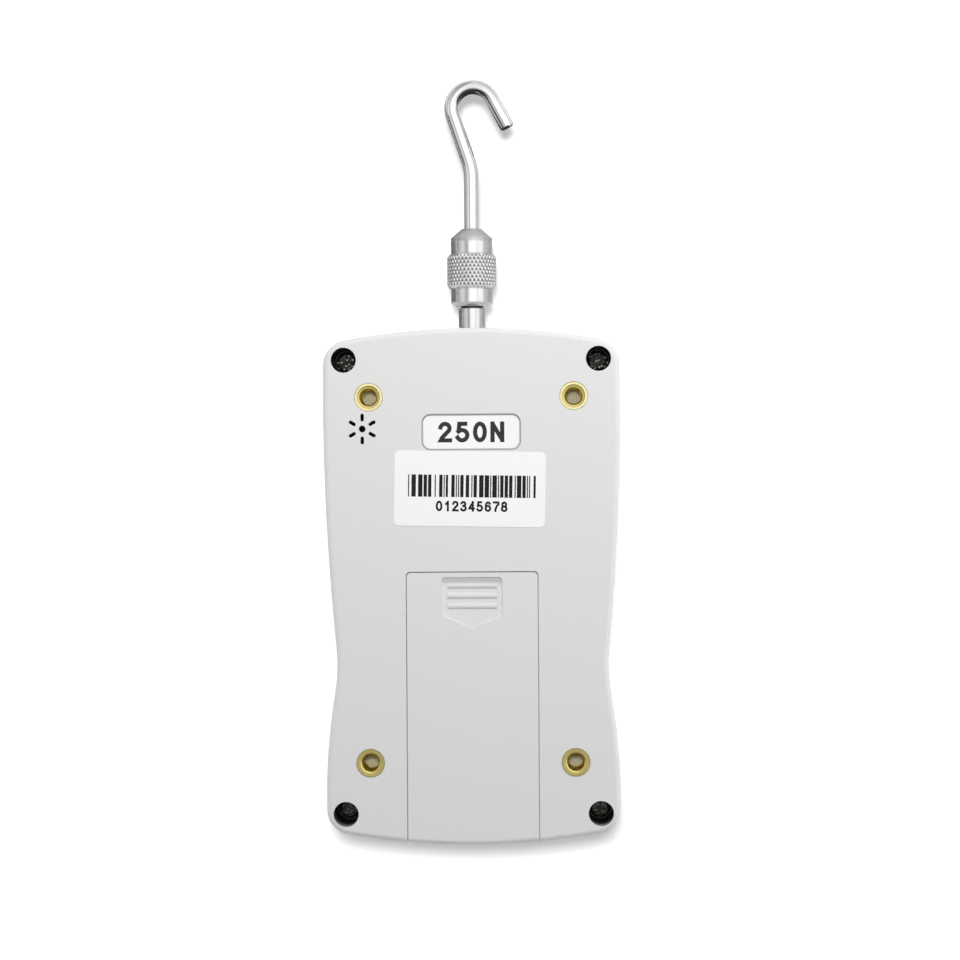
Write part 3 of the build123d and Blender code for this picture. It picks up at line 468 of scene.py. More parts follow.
def makeBlackScrew():
    # black oxide over coarse steel, with painted glints in specks
    look = screwLook
    material, tree = newMaterial("screwBlack")
    grain = useGroup(tree, grainGroup, Scale=1500.0, Softness=0.1)
    dark = shadeColour(tree, look["colour"], addRange(tree, grain["Height"], *look["grainShade"]))
    specks = addNode(tree, "TexVoronoi", {"Scale": look["glintScale"], "Vector": objectPlace(tree)},
                     voronoi_dimensions="2D")
    # painted glints: bright specks, on the upper pair of screws and hardly on the lower
    bright = times(tree, addRange(tree, specks.outputs["Distance"], *look["glintReach"]),
                   addRange(tree, placeParts(tree)["Y"], *look["glintPairs"]))
    colour = mixColour(tree, bright, dark, look["glintColour"])
    rough = addRange(tree, grain["Lows"], 0, 1, 0.16, 0.45)
    return setLook(material, colour, rough, grain["Height"], look["grainDepth"], Specular_IOR_Level=0.8)


def makeBoard():
    # green mask over copper tracks, which stand a little proud
    material, tree = newMaterial("circuitBoard")
    black, white = (0, 0, 0, 1), (1, 1, 1, 1)
    tracks = addNode(tree, "TexBrick", {
        "Vector": objectPlace(tree), "Scale": 260.0, "Mortar Size": 0.035, "Mortar Smooth": 0.2,
        "Color1": black, "Color2": black, "Mortar": white}).outputs["Fac"]
    mottle = addMottle(tree, 200.0, 0.2)
    green = shadeColour(tree, (0.012, 0.085, 0.030), mottle["Shade"])
    colour = mixColour(tree, tracks, green, (0.03, 0.17, 0.05))
    return setLook(material, colour, 0.35, tracks, 0.03, Coat_Weight=0.3)


def makeWindow():
    material, tree = newMaterial("windowClear")
    mottle = addMottle(tree, 90.0, 0.02)
    scratches = useGroup(tree, scratchGroup, Scale=380.0, Stretch=30.0, Turn=1.1)
    colour = shadeColour(tree, (0.94, 0.96, 0.96), mottle["Shade"])
    rough = addScaled(tree, 0.002, scratches["Mask"], 0.03)
    return setLook(material, colour, rough, Transmission_Weight=1.0, IOR=1.49)


def makeDisplay():
    # grey-green glass with a faint grid of picture cells
    material, tree = newMaterial("displayGlass")
    mottle = addMottle(tree, 40.0, 0.08)
    grain = useGroup(tree, grainGroup, Scale=6000.0, Softness=0.2)
    lows = minus(tree, 1.0, times(tree, grain["Lows"], 0.06))
    colour = shadeColour(tree, (0.285, 0.335, 0.245), mottle["Shade"], lows)
    rough = addScaled(tree, 0.22, mottle["Smudge"], 0.06)
    return setLook(material, colour, rough, Coat_Weight=0.4, Coat_Roughness=0.1)


sleeveLook = {
    "colour": (0.035, 0.075, 0.16),
    # the pale band and the bare ends lie beyond these shares of the length from the middle
    "bandFrom": 0.36,
    "bandColour": (0.42, 0.44, 0.45),
    "bareFrom": 0.475,
    "bareColour": (0.62, 0.61, 0.59),
}


def makeCellSleeve():
    # a printed sleeve round each battery, with a pale band and bare metal at both ends
    look = sleeveLook
    material, tree = newMaterial("batterySleeve")
    low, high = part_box("battery_cells")
    along = addRange(tree, placeParts(tree)["Y"], low[1], high[1], 0, 1)
    near = unsigned(tree, minus(tree, along, 0.5))
    bare = addMath(tree, "GREATER_THAN", near, look["bareFrom"])
    band = addMath(tree, "GREATER_THAN", near, look["bandFrom"])
    mottle = addMottle(tree, 150.0, 0.12)
    blue = shadeColour(tree, look["colour"], mottle["Shade"])
    banded = mixColour(tree, band, blue, look["bandColour"])
    colour = mixColour(tree, bare, banded, look["bareColour"])
    rough = addScaled(tree, 0.24, mottle["Smudge"], 0.08)
    return setLook(material, colour, rough, Metallic=bare, Coat_Weight=0.5)


# grain and unevenness of the dark mouldings inside
darkGrain = (3000.0, 0.5, 0.015), (180.0, 0.25)
made = [
    makeCasePlastic(), makeBlackScrew(), makeBrass(), makeWindow(), makeDisplay(), makeBoard(),
    makeCellSleeve(), makeKnurled(),
    # colour, grain (scale, softness, depth), unevenness (scale, amount), roughness clean and added by smudges
    makeMatt("keyRubber", (0.50, 0.52, 0.54), (2600.0, 0.6, 0.020), (160.0, 0.06), (0.62, 0.12),
             Specular_IOR_Level=0.35),
    makeMatt("panelFilm", (0.030, 0.042, 0.062), (5200.0, 0.3, 0.010), (70.0, 0.10), (0.34, 0.10),
             Coat_Weight=0.15),
    makeMatt("labelFilm", (0.893, 0.892, 0.895), (4200.0, 0.9, 0.006), (110.0, 0.035), (0.32, 0.08),
             Coat_Weight=0.1),
    makeMatt("chipBlack", (0.018, 0.018, 0.019), *darkGrain, (0.50, 0.10)),
    makeMatt("innerPlastic", (0.045, 0.045, 0.045), *darkGrain, (0.55, 0.10)),
    makeMatt("leadSleeve", (0.022, 0.020, 0.020), *darkGrain, (0.45, 0.10)),
    # colour and patchiness
    makeInk("labelInk", (0.035, 0.030, 0.036), 0.5),
    makeInk("serialInk", (0.010, 0.008, 0.009), 0.6),
    makeInk("panelPrint", (0.72, 0.73, 0.74), 0.08),
    makeInk("keyPrint", (0.05, 0.055, 0.065), 0.3),
    makeInk("segmentInk", (0.205, 0.245, 0.175), 0.1),
    # colour, roughness and depth of the scratches
    makePlated("screwSteel", (0.20, 0.20, 0.20), 0.38, 0.01),
    makePlated("nickelPlate", (0.68, 0.65, 0.60), 0.24, 0.006),
    makePlated("cellAluminium", (0.77, 0.77, 0.76), 0.34, 0.02),
    makePlated("bracketSteel", (0.56, 0.57, 0.58), 0.42, 0.02),
    # colour, roughness, depth and scale of the marks, dirt, and the darkened stretch: from, to and level; on
    # the shaft it is painted shade in the gap under the nut
    makeTurnedMetal("shaftSteel", (0.68, 0.68, 0.675), 0.19, 0.004, 9000.0, 0.25, 41.2, 41.75, 0.08),
    makeTurnedMetal("hookChrome", (0.84, 0.84, 0.835), 0.14, 0.002, 2500.0, 0.22, 97.5, 103.5, 0.66),
]
finishes = {material.name: material for material in made}
finishOfNode = {
    "casePlastic": ["front_case", "rear_case", "battery_door"],
    "keyRubber": ["key_light", "key_store", "key_unit", "key_peak", "key_zero", "key_power"],
    "panelFilm": ["front_overlay"],
    "labelFilm": ["rating_label", "serial_label"],
    "screwBlack": ["case_screws"],
    "screwSteel": ["board_screws", "bracket_screws", "anchor_bolt"],
    "insertBrass": ["mount_inserts"],
    "windowClear": ["display_window"],
    "displayGlass": ["lcd_glass"],
    "circuitBoard": ["main_board"],
    "chipBlack": ["circuit_chips", "key_switches", "buzzer", "dc_jack"],
    "innerPlastic": ["lcd_frame"],
    "leadSleeve": ["sensor_lead", "battery_leads"],
    "nickelPlate": ["data_port", "battery_springs", "battery_contacts"],
    "cellAluminium": ["load_cell"],
    "bracketSteel": ["cell_bracket"],
    "batterySleeve": ["battery_cells"],
    "shaftSteel": ["load_shaft", "shaft_jam_nut"],
    "hookChrome": ["hook"],
    "nutSteel": ["coupling_nut"],
}


def setFinish(piece, finish):
    piece.data.materials.clear()
    piece.data.materials.append(finishes[finish])


for finish, names in finishOfNode.items():
    for name in names:
        setFinish(nodes[name], finish)
print("finishes made:", len(finishes))


def finishPiece(piece, finish, body, replaced=()):
    setFinish(piece, finish)
    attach(piece, body)
    if replaced:
        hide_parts(*replaced)
    print("piece made:", piece.name)


# ---- coupling nut with a cut diamond knurl

nutValues = {
    # radii, lengths and depths in millimetres
    "plainRadius": 5.7,
    "bandRadius": 6.8,
    "boreRadius": 3.05,
    "wireBore": 2.08,
    "tipRadius": 2.8,
    "tipRound": 0.1,
    "mouthBevel": 0.35,
    "bottomChamfer": 1.1,
    "bandChamfer": 0.8,
    "neckDepth": 0.12,
    "plainLength": 5.0,
    "bandLength": 9.4,
    "upperLength": 4.6,
    "seat": 12.0,
    "teeth": 37,
    "perTooth": 8,
    "rows": 76,
    "pitchAlong": 2.0,
    "cutDepth": 0.36,
    # the higher, the flatter the teeth are on top
    "flatTop": 2.1,
    # the mark "raised": the share of the teeth, the rest being ridges, and how wide the ridges are
    "toothShare": 0.3,
    "ridgeWidth": 1.4,
    "smoothAngle": 28,
}


def makeNut():
    v = nutValues
    low, high = (Vector(corner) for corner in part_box("coupling_nut"))
    foot = Vector(((low.x + high.x) / 2, low.y, (low.z + high.z) / 2))
    length = (high.y - low.y) / mm
    start = v["plainLength"]
    end = start + v["bandLength"]
    upper = end + v["upperLength"]

    def bandEdge(along):
        # the band's outline before it is cut, with its two chamfers
        nearEnd = min(along - start, end - along)
        return v["bandRadius"] - max(0.0, v["bandChamfer"] - nearEnd)

    band = [(bandEdge(a), a) for a in (start + v["bandLength"] * i / v["rows"] for i in range(v["rows"] + 1))]
    r, bore, tip, c, bevel = (v[key] for key in ("plainRadius", "boreRadius", "tipRadius", "bottomChamfer",
                                                 "mouthBevel"))
    neck = r - v["neckDepth"]
    profile = [
        (bore, bevel), (bore + bevel, 0), (r - c, 0), (r - c + 0.08, 0.03), (r, c),
        (r, start - 0.25), (neck, start - 0.1), (neck, start),
        *band,
        (neck, end), (neck, end + 0.1), (r, end + 0.25),
        (r, upper - 0.1), (r - 0.06, upper), (tip, length - 0.03), (tip - v["tipRound"], length),
        (v["wireBore"], length), (v["wireBore"], v["seat"]), (bore, v["seat"]),
    ]
    nut = spinProfile("couplingNutTurned", profile, foot, Vector((0, 1, 0)), v["teeth"] * v["perTooth"])
    raised = nut.data.attributes.new("raised", "FLOAT", "POINT")
    for vertex, mark in zip(nut.data.vertices, raised.data):
        mark.value = 1.0
        out = Vector((vertex.co.x - foot.x, 0, vertex.co.z - foot.z))
        along = (vertex.co.y - foot.y) / mm
        if out.length < (v["plainRadius"] + 0.2) * mm or not start <= along <= end:
            continue
        turns = math.atan2(out.z, out.x) / math.tau * v["teeth"]
        rise = along / v["pitchAlong"]
        waves = wave(turns + rise), wave(turns - rise)
        peak = min(1.0, v["flatTop"] * min(waves))
        cut = v["bandRadius"] - v["cutDepth"] * (1 - peak)
        radius = min(out.length / mm, cut)
        ridge = min(1.0, v["ridgeWidth"] * max(waves))
        mark.value = v["toothShare"] * peak + (1 - v["toothShare"]) * ridge
        place = foot + out.normalized() * radius * mm
        vertex.co = (place.x, vertex.co.y, place.z)
    smoothByAngle(nut, v["smoothAngle"])
    finishPiece(nut, "nutSteel", "coupling_nut", ["coupling_nut"])


makeNut()


# ---- threaded inserts with a serrated rim

insertValues = {
    "flangeRadius": 3.8,
    "rimRound": 0.06,
    "threadRadius": 2.12,
    "threadDepth": 0.22,
    "threadPitch": 0.8,
    "bodyRadius": 3.4,
    "grooveRadius": 3.0,
    "teeth": 30,
    "perTooth": 4,
    "rowsPerPitch": 5,
    "flangeHeight": 0.8,
    "smoothAngle": 32,
    # each pair's tooth depth, how far the flange is spread, how proud it stands and the look of its face: 1
    # is a painted highlight, -1 darker
    "upperPair": (0.05, 0.0, 0.02, 1.0),
    "lowerPair": (0.42, 0.20, 0.09, -1.0),
    # the mouth from the face down to the thread, as (radius, depth): a step, or a round edge
    "upperMouth": [(3.10, 0.0), (3.05, 0.06), (3.02, 0.30), (2.96, 0.34), (2.50, 0.36), (2.43, 0.44),
                   (2.12, 0.95)],
    "lowerMouth": [(2.78, 0.0), (2.62, 0.03), (2.46, 0.10), (2.32, 0.22), (2.20, 0.42), (2.14, 0.70),
                   (2.12, 0.95)],
    # the flat ring of the step: radii, depths and its painted shade
    "step": (2.45, 3.0, 0.33, 0.37, -0.45),
    # how far the thread stays clear of both its ends
    "threadClear": (0.2, 0.1),
}


def makeInsert(foot, length, toothDepth, spread, proud, look, mouth):
    v = insertValues
    stepFrom, stepTo, shallow, deep, stepShade = v["step"]
    foreClear, topClear = v["threadClear"]
    mouthDepth = mouth[-1][1]
    flange = v["flangeRadius"] + spread
    length += proud
    rows = int((length - mouthDepth) / v["threadPitch"] * v["rowsPerPitch"])
    bore = [(v["threadRadius"], (length - mouthDepth) * (1 - i / rows)) for i in range(1, rows + 1)]
    third = (length - v["flangeHeight"]) / 3
    profile = [
        *bore,
        (v["bodyRadius"], 0), (v["bodyRadius"], third), (v["grooveRadius"], third + 0.2),
        (v["grooveRadius"], 2 * third - 0.2), (v["bodyRadius"], 2 * third),
        (v["bodyRadius"], length - v["flangeHeight"]), (flange, length - v["flangeHeight"]),
        (flange, length - v["rimRound"]), (flange - v["rimRound"], length),
        *[(radius, length - depth) for radius, depth in mouth],
    ]
    piece = spinProfile("insert", profile, foot, Vector((0, 0, 1)), v["teeth"] * v["perTooth"])
    rim = piece.data.attributes.new("rim", "FLOAT", "POINT")
    for vertex, mark in zip(piece.data.vertices, rim.data):
        out = Vector((vertex.co.x - foot.x, vertex.co.y - foot.y, 0))
        radius = out.length / mm
        up = (vertex.co.z - foot.z) / mm
        turns = math.atan2(out.y, out.x) / math.tau
        # the mark "rim": the face's look, painted highlight or darker, and painted shade on the step
        if radius > mouth[0][0] - 0.02 and up > length - v["rimRound"] - 0.01:
            mark.value = look
        elif stepFrom < radius < stepTo and length - deep < up < length - shallow:
            mark.value = stepShade
        if radius > flange - v["rimRound"] - 0.05:
            radius -= toothDepth * wave(turns * v["teeth"])
        elif radius < v["threadRadius"] + 0.02 and foreClear < up < length - mouthDepth - topClear:
            radius += v["threadDepth"] * wave(up / v["threadPitch"] + turns)
        vertex.co = foot + out.normalized() * radius * mm + Vector((0, 0, up * mm))
    return piece


def makeInserts():
    v = insertValues
    low, high = (Vector(corner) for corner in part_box("mount_inserts"))
    inset = v["flangeRadius"] * mm
    made = []
    for x in (low.x + inset, high.x - inset):
        for y, pair in ((low.y + inset, "lowerPair"), (high.y - inset, "upperPair")):
            mouth = v[pair.replace("Pair", "Mouth")]
            made.append(makeInsert(Vector((x, y, low.z)), (high.z - low.z) / mm, *v[pair], mouth))
    inserts = joinPieces("threadedInserts", made)
    smoothByAngle(inserts, v["smoothAngle"])
    finishPiece(inserts, "insertBrass", "root", ["mount_inserts"])


makeInserts()


# ---- printed marks: flat strokes and shapes just proud of what carries them

def arc(x, y, wide, tall, start, end, count=14):
    # points of an arc from start to end, in degrees anticlockwise from the right
    angles = [math.radians(start + (end - start) * i / count) for i in range(count + 1)]
    return [(x + wide * math.cos(a), y + tall * math.sin(a)) for a in angles]


def ring(x, y, radius):
    return arc(x, y, radius, radius, 0, 360, 28)


def rectangle(x0, y0, x1, y1):
    return [(x0, y0), (x1, y0), (x1, y1), (x0, y1)]


def roundedLine(x, y, width, height, corner):
    # a closed line round a rectangle
    wide, tall = width / 2 - corner, height / 2 - corner
    line = [point for turn, (a, b) in enumerate(((1, 1), (-1, 1), (-1, -1), (1, -1)))
            for point in arc(x + a * wide, y + b * tall, corner, corner, 90 * turn, 90 * turn + 90, 6)]
    return line + line[:1]


# middle lines of the strokes in a box one wide and one high; True makes a stroke's ends run on
letters = {
    "0": [(arc(0.5, 0.5, 0.5, 0.5, 90, 450, 32), False)],
    "1": [([(0.64, 0.0), (0.64, 1.0)], True), ([(0.02, 0.70), (0.36, 0.78), (0.64, 0.97)], False)],
    "2": [(arc(0.49, 0.735, 0.47, 0.265, 168, -38, 18) + [(0.18, 0.16), (0.03, 0.0), (1.0, 0.0)], True)],
    "3": [(arc(0.46, 0.76, 0.42, 0.24, 160, -88, 16), True),
          (arc(0.48, 0.27, 0.50, 0.27, 88, -165, 18), True)],
    "4": [([(0.76, 0.0), (0.76, 1.0)], True), ([(0.76, 1.0), (0.0, 0.25), (1.0, 0.25)], True)],
    "5": [([(1.0, 1.0), (0.17, 1.0), (0.10, 0.47)], False),
          (arc(0.46, 0.31, 0.53, 0.31, 134, -152, 22), True)],
    "6": [(arc(0.53, 0.5, 0.50, 0.5, 42, 180, 14), True), (arc(0.5, 0.29, 0.49, 0.29, 180, 540, 26), False)],
    "7": [([(0.0, 1.0), (1.0, 1.0)] + arc(1.75, 0.0, 1.38, 0.92, 122, 180, 10), True)],
    "8": [(arc(0.5, 0.765, 0.40, 0.235, 90, 450, 24), False),
          (arc(0.5, 0.265, 0.5, 0.265, 90, 450, 26), False)],
    "N": [([(0.0, 0.0), (0.0, 1.0)], True), ([(1.0, 0.0), (1.0, 1.0)], True),
          ([(0.0, 1.0), (1.0, 0.0)], False)],
}


def wordStrokes(words, width, height, weight, gap):
    # the letters of a word as strokes, in millimetres round the word's middle
    box = (width - gap * (len(words) - 1)) / len(words)
    strokes = []
    for place, letter in enumerate(words):
        left = place * (box + gap) - width / 2
        for line, square in letters[letter]:
            points = [Vector((left + weight / 2 + x * (box - weight), (y - 0.5) * (height - weight)))
                      for x, y in line]
            if square:
                points[0] += (points[0] - points[1]).normalized() * weight / 2
                points[-1] += (points[-1] - points[-2]).normalized() * weight / 2
            strokes.append((points, weight))
    return strokes


def strokeFaces(line, weight):
    # a flat ribbon of even width along a line, with mitred corners: its corners and its faces
    sharpest, touching = 0.55, 1e-6
    points = [Vector(point) for point in line]
    closed = (points[0] - points[-1]).length < touching
    if closed:
        points.pop()
    count = len(points)
    corners = []
    for i, point in enumerate(points):
        ways = []
        if closed or i:
            ways.append((point - points[i - 1]).normalized())
        if closed or i < count - 1:
            ways.append((points[(i + 1) % count] - point).normalized())
        along = sum(ways, Vector((0, 0))).normalized()
        across = Vector((-along.y, along.x))
        mitre = max(sharpest, abs(across.dot(Vector((-ways[0].y, ways[0].x)))))
        corners += [point + across * side * weight / 2 / mitre for side in (-1, 1)]
    pairs = [(2 * i, 2 * ((i + 1) % count)) for i in range(count if closed else count - 1)]
    return corners, [(a, a + 1, b + 1, b) for a, b in pairs]


def makePrint(name, strokes, shapes, middle, level, turn=0.0, facing=1):
    # strokes are (line, weight) and shapes are outlines, in millimetres; facing -1 is read from below
    # overlapping marks lie in different layers
    layers, layerLift = 7, 0.003
    spin = math.radians(turn)
    vertices, faces = [], []
    parts = [strokeFaces(line, weight) for line, weight in strokes]
    parts += [([Vector(point) for point in shape], [tuple(range(len(shape)))]) for shape in shapes]
    for layer, (corners, made) in enumerate(parts):
        first = len(vertices)
        lift = level + facing * (layer % layers) * layerLift
        for corner in corners:
            x = corner.x * math.cos(spin) - corner.y * math.sin(spin)
            y = corner.x * math.sin(spin) + corner.y * math.cos(spin)
            vertices.append(((middle[0] + facing * x) * mm, (middle[1] + y) * mm, lift * mm))
        faces += [tuple(first + i for i in face) for face in made]
    piece = newPiece(name, vertices, [], faces)
    for face in piece.data.polygons:
        if face.normal.z * facing < 0:
            face.flip()
    return piece


labelPrint = {
    "proud": 0.012,
    "ratingText": "250N",
    # width, height, weight of stroke, gap
    "ratingSize": (17.9, 5.6, 1.14, 0.95),
    "ratingMiddle": (0.0, 6.96),
    "serialText": "012345678",
    "serialSize": (19.4, 2.85, 0.56, 0.40),
    "serialMiddle": (0.0, -13.15),
    "barsMiddle": (0.2, -7.7),
    "barsSize": (34.7, 6.0),
    "serialTurn": -1.1,
    "module": 0.30,
    "barsSeed": 21,
}


def barShapes():
    v = labelPrint
    draw = random.Random(v["barsSeed"])
    width, height = v["barsSize"]
    count = int(width / v["module"])
    shapes = []
    at = 0
    while at < count:
        wide = min(draw.choice((1, 1, 2, 3, 3, 4)), count - at)
        left = at * v["module"] - width / 2
        shapes.append(rectangle(left, -height / 2, left + wide * v["module"], height / 2))
        at += wide + draw.choice((1, 1, 1, 2, 3))
    return shapes


def makeLabelPrint():
    v = labelPrint
    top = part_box("rating_label")[1][2] / mm + v["proud"]
    rating = makePrint("ratingPrint", wordStrokes(v["ratingText"], *v["ratingSize"]), [],
                       v["ratingMiddle"], top)
    finishPiece(rating, "labelInk", "root")
    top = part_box("serial_label")[1][2] / mm + v["proud"]
    digits = makePrint("serialDigits", wordStrokes(v["serialText"], *v["serialSize"]), [],
                       v["serialMiddle"], top, v["serialTurn"])
    bars = makePrint("serialBars", [], barShapes(), v["barsMiddle"], top, v["serialTurn"])
    finishPiece(joinPieces("serialPrint", [digits, bars]), "serialInk", "root")


makeLabelPrint()


# ---- print on the front film, the keys and the display, all read from below

frontPrint = {
    "proud": 0.012,
    "lineWeight": 0.35,
    "windowMargin": 1.6,
    "windowCorner": 2.2,
    "windowWeight": 0.6,
    "ruleY": -48.0,
    "ruleWidth": 60.0,
    "arrowY": 21.5,
    "arrowReach": 8.0,
    "arrowGap": 2.2,
    "arrowRing": 1.1,
    "arrowSize": 2.4,
    "iconWeight": 0.42,
}


def boxMiddle(node):
    low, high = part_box(node)
    return [(low[i] + high[i]) / 2 / mm for i in range(3)], [(high[i] - low[i]) / mm for i in range(3)]


def triangle(x, y, reach, size):
    # a filled arrow head that points to +x or, with a negative reach, to -x
    return [(x, y - size / 2), (x + reach, y), (x, y + size / 2)]


def makeFrontPrint():
    v = frontPrint
    middle = boxMiddle("front_overlay")[0]
    windowMiddle, windowSize = boxMiddle("display_window")
    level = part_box("front_overlay")[0][2] / mm - v["proud"]
    grow = 2 * v["windowMargin"]
    windowY = windowMiddle[1] - middle[1]
    ruleY = v["ruleY"] - middle[1]
    arrowY = v["arrowY"] - middle[1]
    thin, reach, gap, size = (v[key] for key in ("lineWeight", "arrowReach", "arrowGap", "arrowSize"))
    window = roundedLine(0, windowY, windowSize[0] + grow, windowSize[1] + grow, v["windowCorner"])
    strokes = [
        (window, v["windowWeight"]),
        ([(-v["ruleWidth"] / 2, ruleY), (v["ruleWidth"] / 2, ruleY)], thin),
        ([(-reach, arrowY), (-gap, arrowY)], thin),
        ([(gap, arrowY), (reach, arrowY)], thin),
        (ring(0, arrowY, v["arrowRing"]), thin),
    ]
    shapes = [triangle(side * reach, arrowY, side * size, size) for side in (-1, 1)]
    piece = makePrint("frontPrint", strokes, shapes, middle, level, facing=-1)
    finishPiece(piece, "panelPrint", "root")


def keyIcons():
    # each key's strokes and filled shapes, in millimetres round its middle
    w = frontPrint["iconWeight"]
    rays = [[(1.65 * math.cos(a), 1.65 * math.sin(a)), (2.45 * math.cos(a), 2.45 * math.sin(a))]
            for a in (math.tau * i / 8 for i in range(8))]
    return {
        "key_light": ([(ring(0, 0, 1.0), w)] + [(ray, w) for ray in rays], []),
        "key_store": ([([(-2.2, -0.4), (-2.2, -2.0), (2.2, -2.0), (2.2, -0.4)], w),
                       ([(0, 2.2), (0, 0.2)], w)],
                      [[(-0.95, 0.3), (0, -1.2), (0.95, 0.3)]]),
        "key_unit": ([([(-2.4, 0.9), (1.5, 0.9)], w), ([(-1.5, -0.9), (2.4, -0.9)], w)],
                     [triangle(1.4, 0.9, 1.3, 1.5), triangle(-1.4, -0.9, -1.3, 1.5)]),
        "key_peak": ([([(-2.8, -1.7), (-1.1, -1.2), (0, 1.2), (1.1, -1.2), (2.8, -1.7)], w),
                      ([(-1.6, 2.0), (1.6, 2.0)], w)], []),
        "key_zero": ([(arc(0, 0, 1.05, 1.7, 90, 450, 28), w * 1.2),
                      ([(-4.6, 0), (-3.2, 0)], w), ([(3.2, 0), (4.6, 0)], w)],
                     [triangle(-3.3, 0, 1.2, 1.5), triangle(3.3, 0, -1.2, 1.5)]),
        "key_power": ([(arc(0, -0.2, 1.8, 1.8, 122, 418, 26), w), ([(0, 0.3), (0, 2.2)], w)], []),
    }


def makeKeyIcons():
    for key, (strokes, shapes) in keyIcons().items():
        middle = boxMiddle(key)[0]
        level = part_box(key)[0][2] / mm - frontPrint["proud"]
        piece = makePrint(key.replace("key_", "") + "Icon", strokes, shapes, middle, level, facing=-1)
        finishPiece(piece, "keyPrint", key)


displayValues = {
    "digits": 4,
    "digitWidth": 7.4,
    "digitHeight": 14.0,
    "digitPitch": 11.4,
    "digitsY": -3.0,
    "digitsX": -3.5,
    "weight": 1.5,
    "joint": 0.28,
    "slant": 0.09,
    "pointHalf": 0.7,
    "barCount": 32,
    "barPitch": 1.36,
    "barSize": (0.95, 2.2),
    "barY": 13.6,
    "tallEvery": 8,
    "tallTimes": 1.5,
    "unitText": "N",
    "unitSize": (3.4, 4.0, 0.7, 0),
    "unitMiddle": (22.6, -8.0),
    "proud": 0.02,
}


def segmentShapes(x, y):
    # seven bars with pointed ends, on a slant
    v = displayValues
    half, tall, w, gap = v["digitWidth"] / 2, v["digitHeight"] / 2, v["weight"] / 2, v["joint"]
    places = [((-half, 2 * tall), (half, 2 * tall)), ((-half, tall), (half, tall)), ((-half, 0), (half, 0))]
    places += [((side * half, low), (side * half, low + tall)) for side in (-1, 1) for low in (0, tall)]
    shapes = []
    for start, end in places:
        a, b = Vector(start), Vector(end)
        along = (b - a).normalized()
        across = Vector((-along.y, along.x)) * w
        a, b = a + along * gap, b - along * gap
        near, far = a + along * w, b - along * w
        outline = [a, near - across, far - across, b, far + across, near + across]
        shapes.append([(x + p.x + (p.y - tall) * v["slant"], y + p.y - tall) for p in outline])
    return shapes


def makeDisplayPrint():
    v = displayValues
    middle = boxMiddle("lcd_glass")[0]
    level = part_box("lcd_glass")[0][2] / mm - v["proud"]
    point = v["pointHalf"]
    shapes = []
    for place in range(v["digits"]):
        x = v["digitsX"] + (place - (v["digits"] - 1) / 2) * v["digitPitch"]
        shapes += segmentShapes(x, v["digitsY"])
        x += v["digitPitch"] / 2 - v["slant"] * v["digitHeight"] / 2
        y = v["digitsY"] - v["digitHeight"] / 2
        if place < v["digits"] - 1:
            shapes.append(rectangle(x - point, y - point, x + point, y + point))
    width, height = v["barSize"]
    for bar in range(v["barCount"]):
        x = (bar - (v["barCount"] - 1) / 2) * v["barPitch"]
        tall = height * (1 if bar % v["tallEvery"] else v["tallTimes"])
        shapes.append(rectangle(x - width / 2, v["barY"], x + width / 2, v["barY"] + tall))
    unitX, unitY = v["unitMiddle"]
    unit = [([(at[0] + unitX, at[1] + unitY) for at in line], weight)
            for line, weight in wordStrokes(v["unitText"], *v["unitSize"])]
    piece = makePrint("displaySegments", unit, shapes, middle, level, facing=-1)
    finishPiece(piece, "segmentInk", "root")


makeFrontPrint()
makeKeyIcons()
makeDisplayPrint()


# ---- floor, light and camera

studio = {
    "floorColour": (0.95, 0.95, 0.95),
    "floorSize": 8.0,
    # the floor's own brightness near the object and away from it, and the distances
    "floorGlow": (0.21, 0.70),
    "glowReach": (0.12, 0.80),
    "cameraPlace": (17.3, -6.137, 716.0),
    "cameraLean": 1.2636,
    "cameraTurn": -0.37,
    "lens": 94.4,
    "sensor": 36.0,
    "clipStart": 0.01,
    # even light from all round, on matt surfaces
    "fill": 0.30,
    # what polished metal sees: (lean from overhead in degrees, brightness), left to right
    "tent": [(-90, 0.30), (-72, 0.66), (-50, 0.98), (-40, 0.86), (-32, 0.50), (-20, 0.54), (-14, 1.42),
             (20, 1.55), (33, 1.10), (42, 1.38), (60, 1.35), (74, 0.85), (90, 0.55)],
    # and how much of it is left towards the grip and towards the hook
    "tentEnds": [(-90, 0.03), (-50, 0.05), (-32, 0.13), (-15, 0.80), (0, 1.0), (38, 0.92), (60, 0.80),
                 (90, 0.75)],
    # lamps: place, size and power, and the place they all point to
    "lampAim": (0, -0.03, 0.02),
    "softbox": ((0.004, 0.117, 1.0), 0.15, 3.35),
    "floorLamp": ((0.004, 0.117, 1.0), 0.15, 3.9),
    "endLamp": ((0.06, 0.27, 0.26), 0.16, 0.69),
    "rightLamp": ((0.42, -0.03, 0.055), 0.20, 0.62),
    "leftLamp": ((-0.42, -0.03, 0.055), 0.20, 0.30),
    # cards that only metal shows, from above: both ends in x, in y and in z, and the brightness
    "cards": {
        "nutLeft": (-0.304, -0.004, 0.037, 0.064, 0.001, 0.001, 0.21),
        "nutRight": (0.004, 0.304, 0.037, 0.064, 0.001, 0.001, 0.50),
        "hookLeft": (-0.304, -0.004, 0.064, 0.115, 0.001, 0.001, 0.36),
        "hookRight": (0.004, 0.304, 0.064, 0.115, 0.001, 0.001, 0.60),
        "underBow": (-0.0035, 0.016, 0.066, 0.097, 0.042, 0.0015, 0.04),
    },
}


